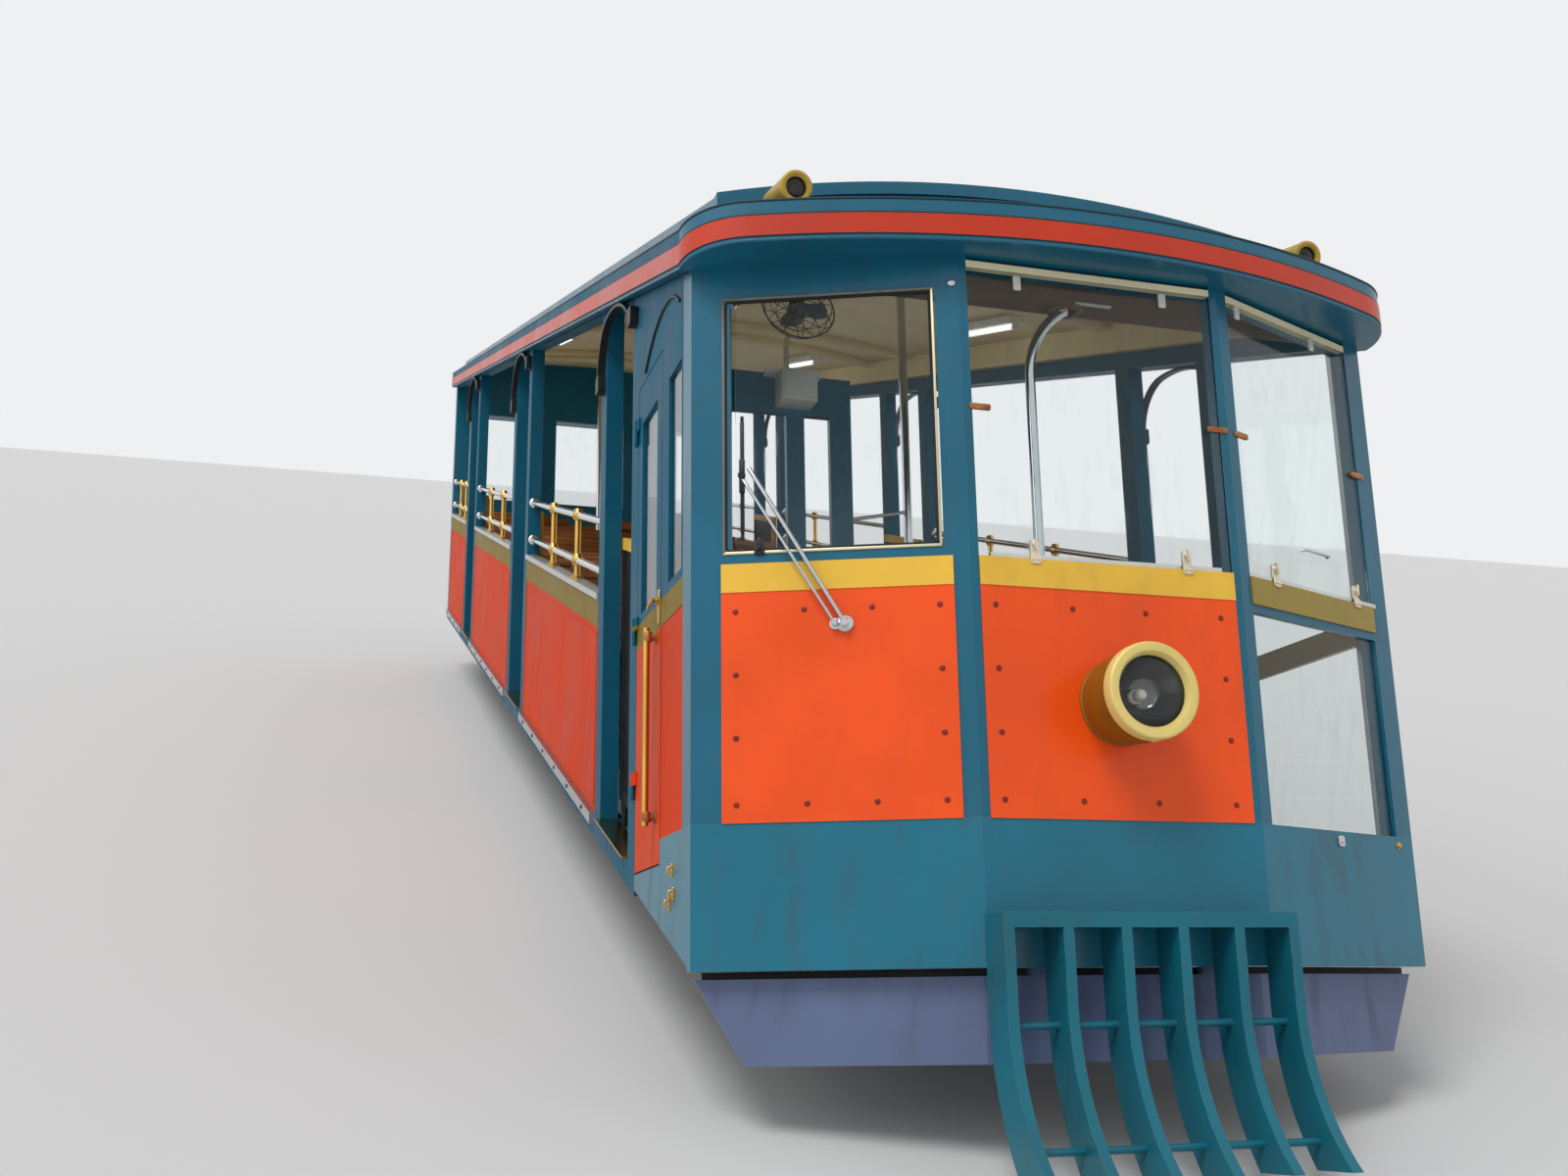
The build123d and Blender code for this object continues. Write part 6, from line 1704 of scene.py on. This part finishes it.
@dataclass
class Benches(SubAssembly):
    """Slatted wooden benches on both sides of the aisle, one on each step."""

    inner: float = 0.300
    outer: float = 1.126
    depth: float = 0.430
    slat_pitch: float = 0.0785
    frame_width: float = 0.034
    setback: float = 0.025
    nose_line: float = 0.36136
    steps: tuple[int, ...] = (3, 3, 2)

    @property
    def width(self) -> float:
        """Width of one bench."""
        return self.outer - self.inner

    @property
    def frame_places(self) -> tuple[float, float, float]:
        """Start of each of a bench's three iron frames."""
        return 0.0, self.width / 2 - self.frame_width / 2, self.width - self.frame_width

    def places(self) -> list[Pair]:
        """Back line and floor height of each bench in the leaning body.

        Returns:
            The pairs, from the front to the rear of the car.
        """
        found = []
        lead = self.nose_line * SLOPE
        for (start, end), steps in zip(SideFittings().bays(), self.steps):
            run = (end - start) / steps
            for step in range(steps):
                nose = start + lead + run * step
                depth = run * math.cos(LEAN)
                level = to_body(nose, self.nose_line)[1]
                rear = to_body(nose + depth * math.cos(LEAN), self.nose_line - depth * math.sin(LEAN))[0]
                found.append((rear - self.setback, level))
        return found

    def build(self) -> None:
        """Model one bench and set it on every step."""
        frames = []
        for x in self.frame_places:
            outline = [(-0.045, 0.0), (-0.004, 0.0), (-0.004, 0.30), (-0.004, 0.84), (-0.012, 0.882), (-0.021, 0.882),
                       (-0.024, 0.43), (-0.045, 0.409), (-0.424, 0.409), (-0.426, 0.398), (-0.415, 0.374),
                       (-0.14, 0.345), (-0.072, 0.24), (-0.048, 0.10)]
            frames.append(Shop.lay(Shop.plate("bench_frame", outline, x, x + self.frame_width, 0.003), ACROSS))
        pattern = Shop.join("bench_frames", frames)
        slats = []
        end = self.width - 0.003
        for i in range(5):
            front = -self.depth + self.slat_pitch * i
            slats.append(Shop.box("slat", (0.003, front, 0.4085), (end, front + 0.068, 0.4295), 0.006, 3))
        for i in range(4):
            foot = 0.472 + 0.1045 * i
            slats.append(Shop.box("slat", (0.003, -0.044, foot), (end, -0.0235, foot + 0.092), 0.006, 3))
        for foot in (0.020, 0.195):
            slats.append(Shop.box("slat", (0.036, -0.022, foot), (self.width - 0.036, -0.006, foot + 0.165), 0.004))
        slats = Shop.join("bench_slats", slats)
        heads = Shop.repeat("bench_screws", screw(0.0055, 0.002, 8), [
            at(x + self.frame_width / 2, -self.depth + self.slat_pitch * i + 0.034, 0.4290)
            for x in self.frame_places for i in range(5)])
        body = body_frame()
        spots = [body @ at(x, rear, level) for rear, level in self.places() for x in (self.inner, -self.outer)]
        self.keep(Shop.repeat("bench_frames", pattern, spots), BENCH_IRON, "benches")
        self.keep(Shop.repeat("bench_slats", slats, spots), WOOD, "benches")
        self.keep(Shop.repeat("bench_screws", heads, spots), BRASS, "benches")


@dataclass
class Saloon(SubAssembly):
    """Step nosings, and the strip lights and beams of the ceiling."""

    floor_half: float = 1.128
    ceiling_edge: float = 2.415
    ceiling_rise: float = 0.110
    ceiling_half: float = 1.140
    beam_half: float = 1.095
    cab_nose: float = 0.17887
    light_rows: Pair = (-0.84, 0.84)
    light_places: tuple[float, float, float] = (-1.93, 1.43, 4.20)

    def ceiling(self, x: float) -> float:
        """Height of the ceiling's underside up the posts."""
        return self.ceiling_edge + crown(x, self.ceiling_half, self.ceiling_rise)

    def build(self) -> None:
        """Build the nosings, the lights and the beams."""
        self.nosings()
        self.lights()
        self.beams()

    def nosings(self) -> None:
        """Edge every step with a metal angle."""
        benches = Benches()
        lead = benches.nose_line * SLOPE
        noses = [self.cab_nose]
        for number, ((start, end), steps) in enumerate(zip(SideFittings().bays(), benches.steps)):
            noses.append(POST_TRACK + MODULE * number + lead)
            noses += [start + lead + (end - start) / steps * step for step in range(steps)]
        section = [(-0.0035, 0.003), (0.034, 0.003), (0.036, 0.0), (0.0, -0.001), (0.0, -0.018), (-0.0035, -0.018)]
        angle = Shop.lay(Shop.plate("angle", section, -self.floor_half, self.floor_half, 0.0008), ACROSS)
        places = [body_frame() @ at(0, *to_body(nose, benches.nose_line)) for nose in noses]
        self.keep(Shop.repeat("step_nosings", angle, places), ALUMINIUM)

    def lights(self) -> None:
        """Hang strip lights under the ceiling."""
        boxes, tubes = [], []
        for x in self.light_rows:
            top = SKIRT_Z + self.ceiling(x) * math.cos(LEAN) + 0.004
            for y in self.light_places:
                boxes.append(Shop.box("housing", (x - 0.045, y - 0.34, top - 0.040), (x + 0.045, y + 0.34, top), 0.008))
                tubes.append(Shop.tube("tube", [(x, y - 0.31, top - 0.054), (x, y + 0.31, top - 0.054)], 0.013))
                for end in (-0.325, 0.325):
                    boxes.append(Shop.box("holder", (x - 0.016, y + end - 0.012, top - 0.070),
                                          (x + 0.016, y + end + 0.012, top - 0.036), 0.004))
        self.keep(Shop.join("ceiling_light_housings", boxes), WHITE_PLASTIC)
        self.keep(Shop.join("ceiling_light_tubes", tubes), LIT_TUBE)

    def beams(self) -> None:
        """Set a bowed cross beam under the ceiling at each pair of posts."""
        arc = [(x, self.ceiling(x)) for x in across(self.beam_half, 16)]
        outline = [(x, z + 0.004) for x, z in arc] + [(x, z - 0.042) for x, z in reversed(arc)]
        beam = Shop.lay(Shop.plate("beam", outline, -0.024, 0.024, 0.004), spin(90, "X"))
        places = []
        for number in range(DOORWAYS):
            for shift in (POST_WIDTH / 2, DOOR_PITCH + POST_WIDTH / 2):
                back = (POST_TRACK + MODULE * number + shift) * math.cos(LEAN)
                places.append(body_frame() @ at(0, back, back * SLOPE))
        self.keep(Shop.repeat("ceiling_beams", beam, places), CEILING)


@dataclass
class DriverPlace(SubAssembly):
    """Fan, instruments, brake wheel, cabinet and stay rod round the driver."""

    brake_wheel: Pair = (0.085, 0.115)

    def build(self) -> None:
        """Build the fan and the console."""
        self.fan()
        self.console()

    def fan(self) -> None:
        """Hang a small fan in a wire guard over the driver's place."""
        place = body_frame() @ at(-0.720, 0.545, 2.375) @ spin(75, "X")
        rings = []
        for radius, height in ((0.138, 0.0), (0.120, 0.030), (0.120, -0.030), (0.075, 0.040), (0.075, -0.040)):
            path = [(x, y, height) for x, y in circle(radius, 24)]
            rings.append(Shop.tube("ring", path, 0.0032 if radius > 0.13 else 0.0018, closed=True, sides=1))
        for x, y in circle(1.0, 12):
            path = [(r * x, r * y, z) for r, z in ((0.022, 0.042), (0.075, 0.040), (0.120, 0.030), (0.138, 0.0),
                                                   (0.120, -0.030), (0.075, -0.040), (0.022, -0.042))]
            rings.append(Shop.tube("wire", path, 0.0017, sides=1))
        self.fit("fan_guard", rings, place, BLACK)
        hub = Shop.turned("hub", [(0, -0.075), (0.026, -0.072), (0.036, -0.060), (0.036, -0.020), (0.022, -0.012),
                                  (0.022, 0.020), (0.012, 0.028), (0, 0.030)], 28)
        blades = []
        for i in range(3):
            blade = Shop.plate("blade", [(0.018, -0.016), (0.060, -0.038), (0.104, -0.030), (0.112, 0.0),
                                         (0.098, 0.026), (0.055, 0.024), (0.018, 0.014)], -0.0012, 0.0012, 0.0008)
            blades.append(Shop.lay(blade, spin(120 * i, "Z") @ spin(24, "X")))
        self.fit("fan_motor", [hub, *blades], place, DESK)
        stem = Shop.tube("fan_stem", [(-0.720, 0.610, 2.395), (-0.720, 0.640, 2.46), (-0.720, 0.640, 2.675)], 0.011)
        self.keep(Shop.lay(stem, body_frame()), BLACK)

    def console(self) -> None:
        """Set the driver's instruments on the desk and a cabinet on the partition."""
        face = body_frame() @ at(-0.740, 0.205, 1.180)
        panel = Shop.plate("desk_panel", rounded((-0.19, -0.10), (0.19, 0.09), 0.02), -0.001, 0.012, 0.004)
        self.keep(Shop.lay(panel, face), DESK)
        dials, faces = [], []
        for x in (-0.11, 0.0, 0.11):
            dial = Shop.turned("dial", [(0.031, 0.010), (0.041, 0.010), (0.042, 0.020), (0.037, 0.025),
                                        (0.031, 0.021), (0.031, 0.010)], 32)
            dials.append(Shop.lay(dial, at(x, 0.025)))
            plate = Shop.turned("face", [(0, 0.009), (0.032, 0.009), (0.032, 0.014), (0.004, 0.014),
                                         (0.003, 0.017), (0, 0.018)], 32)
            faces.append(Shop.lay(plate, at(x, 0.025)))
        self.fit("desk_dials", dials, face, CHROME)
        self.fit("desk_dial_faces", faces, face, WHITE_PLASTIC)
        radius, level = self.brake_wheel
        wheel = [Shop.tube("wheel", [(x, y, level) for x, y in circle(radius, 24)], 0.009, closed=True)]
        for i in range(3):
            angle = math.radians(90 + 120 * i)
            rim = (radius * math.cos(angle), radius * math.sin(angle), level)
            wheel.append(Shop.tube("spoke", [(0, 0, 0.105), rim], 0.006))
        wheel.append(Shop.turned("hub", [(0, 0.0), (0.030, 0.0), (0.026, 0.010), (0.013, 0.016), (0.013, 0.095),
                                         (0.019, 0.100), (0.019, 0.116), (0, 0.120)], 24))
        self.fit("brake_wheel", wheel, face @ at(-0.05, -0.03, 0.010), BLACK)
        cabinet = [Shop.box("cabinet", (-0.734, 0.715, 2.085), (-0.595, 0.826, 2.212), 0.006),
                   Shop.box("cabinet", (-0.722, 0.708, 2.098), (-0.607, 0.718, 2.199), 0.004),
                   Shop.box("cabinet", (-0.780, 0.770, 2.205), (-0.560, 0.826, 2.221), 0.004)]
        self.fit("cab_cabinet", cabinet, body_frame(), WHITE_PLASTIC)
        stay = Shop.tube("cab_stay_rod", [(-0.445, 0.826, 1.667), (-0.312, 0.864, 1.704), (-0.180, 0.901, 1.741)],
                         0.007)
        self.keep(Shop.lay(stay, body_frame()), BRIGHT_STEEL)


@dataclass
class AxleBoxBolts(SubAssembly):
    """Four bolts on the cover of each axle box."""

    axles: Pair = (2.315, 7.915)
    axle_height: float = 0.255
    cover: float = 0.886

    def build(self) -> None:
        """Build the bolts on every box."""
        ring = [spin(45 + 90 * i, "Z") @ at(0.039, 0) for i in range(4)]
        heads = Shop.repeat("bolts", bolt(0.0075, 0.007), ring)
        places = [at(side.value * self.cover, FRONT_Y + axle, self.axle_height) @ spin(side.value * 90, "Y")
                  for axle in self.axles for side in Side]
        self.keep(Shop.repeat("axle_box_bolts", heads, places), FRAME_STEEL)


@dataclass
class RoofSeams(SubAssembly):
    """Seams between the sheets of the roof."""

    half: float = 1.168
    rise: float = 0.163
    edge: float = 2.470
    places: tuple[float, ...] = (-3.2, -1.9, -0.6, 0.7, 2.0, 3.3, 4.6)

    def build(self) -> None:
        """Bend one seam over the roof and set it at each place along the car."""
        path = [(x, 0, SKIRT_Z + (self.edge + crown(x, self.half + 0.007, self.rise)) * math.cos(LEAN))
                for x in across(self.half, 20)]
        seam = Shop.tube("seam", path, 0.006, sides=1)
        places = [at(0, y) for y in self.places]
        self.keep(Shop.repeat("roof_seams", seam, places), TEAL)


# ---------------------------------------------------------------- stage


@dataclass
class Stage:
    """Pale floor, soft light and the camera of the photograph."""

    floor_size: float = 240.0
    floor_colour: Rgb = (0.70, 0.70, 0.69)
    backdrop: Rgb = (0.86, 0.87, 0.88)
    sky: float = 0.48
    key: float = 1.35
    key_from: Point = (-0.40, -0.22, 0.89)
    fill: float = 0.45
    fill_from: Point = (-0.9, -0.1, 0.45)
    camera_place: Point = (-2.3226, -4.5818, -0.0886)
    yaw: float = math.radians(16.6486)
    pitch: float = math.radians(14.6437)
    roll: float = math.radians(-0.7584)
    focal_pixels: float = 1619.64
    sensor: float = 36.0
    frame_pixels: float = 1600.0

    def build(self) -> None:
        """Set up floor, lights, world and camera."""
        self.floor()
        self.lamp("key", self.key, 24, self.key_from)
        self.lamp("fill", self.fill, 50, self.fill_from)
        self.world()
        self.camera()
        bpy.context.scene.view_settings.view_transform = "Standard"

    def floor(self) -> None:
        """Lay the pale floor under the wheels."""
        Shop.clear()
        bpy.ops.mesh.primitive_plane_add(size=self.floor_size, location=(0, 0, 0))
        floor = Shop.name(bpy.context.object, "floor_plane")
        Shop.apply(floor)
        material, shader = new_material("floor")
        set_inputs(shader, {"Base Color": (*self.floor_colour, 1), "Roughness": 0.9})
        floor.data.materials.append(material)

    @staticmethod
    def lamp(name: str, strength: float, spread: float, towards: Point) -> None:
        """Add one broad, soft sun.

        Args:
            name: name of the lamp.
            strength: its strength.
            spread: its angular size in degrees.
            towards: direction from the car to the lamp.
        """
        light = bpy.data.lights.new(name, "SUN")
        light.energy = strength
        light.angle = math.radians(spread)
        lamp = bpy.data.objects.new(name, light)
        lamp.rotation_euler = Vector(towards).to_track_quat("Z", "Y").to_euler()
        bpy.context.collection.objects.link(lamp)

    def world(self) -> None:
        """Light from all round, and a pale sky behind."""
        world = bpy.data.worlds.new("studio")
        bpy.context.scene.world = world
        world.use_nodes = True
        tree = world.node_tree
        background = next(node for node in tree.nodes if node.type == "BACKGROUND")
        set_inputs(background, {"Color": (self.sky, self.sky, self.sky * 1.03, 1)})
        seen = set_inputs(tree.nodes.new("ShaderNodeBackground"), {"Color": (*self.backdrop, 1)})
        paths = tree.nodes.new("ShaderNodeLightPath")
        either = Effect.math(tree, "MAXIMUM", paths.outputs["Is Camera Ray"], paths.outputs["Is Transmission Ray"])
        either = Effect.math(tree, "MAXIMUM", either, paths.outputs["Is Glossy Ray"])
        mix = tree.nodes.new("ShaderNodeMixShader")
        output = next(node for node in tree.nodes if node.type == "OUTPUT_WORLD")
        tree.links.new(either, mix.inputs[0])
        tree.links.new(background.outputs[0], mix.inputs[1])
        tree.links.new(seen.outputs[0], mix.inputs[2])
        tree.links.new(mix.outputs[0], output.inputs["Surface"])

    def camera(self) -> None:
        """Set the camera where the photograph was taken, solved in the leaning body's frame."""
        ahead = Vector((math.sin(self.yaw) * math.cos(self.pitch), math.cos(self.yaw) * math.cos(self.pitch),
                        math.sin(self.pitch)))
        level = Vector((math.cos(self.yaw), -math.sin(self.yaw), 0))
        upright = level.cross(ahead)
        right = level * math.cos(self.roll) + upright * math.sin(self.roll)
        above = upright * math.cos(self.roll) - level * math.sin(self.roll)
        turn = Matrix((right, above, -ahead)).transposed().to_4x4()
        data = bpy.data.cameras.new("camera")
        data.sensor_width = self.sensor
        data.sensor_fit = "HORIZONTAL"
        data.lens = self.focal_pixels / self.frame_pixels * self.sensor
        data.clip_end = 500
        camera = bpy.data.objects.new("camera", data)
        camera.matrix_world = body_frame() @ at(*self.camera_place) @ turn
        bpy.context.collection.objects.link(camera)
        bpy.context.scene.camera = camera


def main() -> None:
    """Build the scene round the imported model."""
    logging.basicConfig(level=logging.INFO, format="%(message)s")
    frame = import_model()
    Stage().build()
    finish_nodes(frame["nodes"])
    for part in (PanelScrews, SheetFittings, CabWindow, Wiper, Headlamp, Visor, SkirtGapShade, SideFittings,
                 CabDoorFittings, CabSideFittings, Benches, Saloon, DriverPlace, AxleBoxBolts, RoofSeams):
        part().build()


if __name__ == "__main__":
    main()
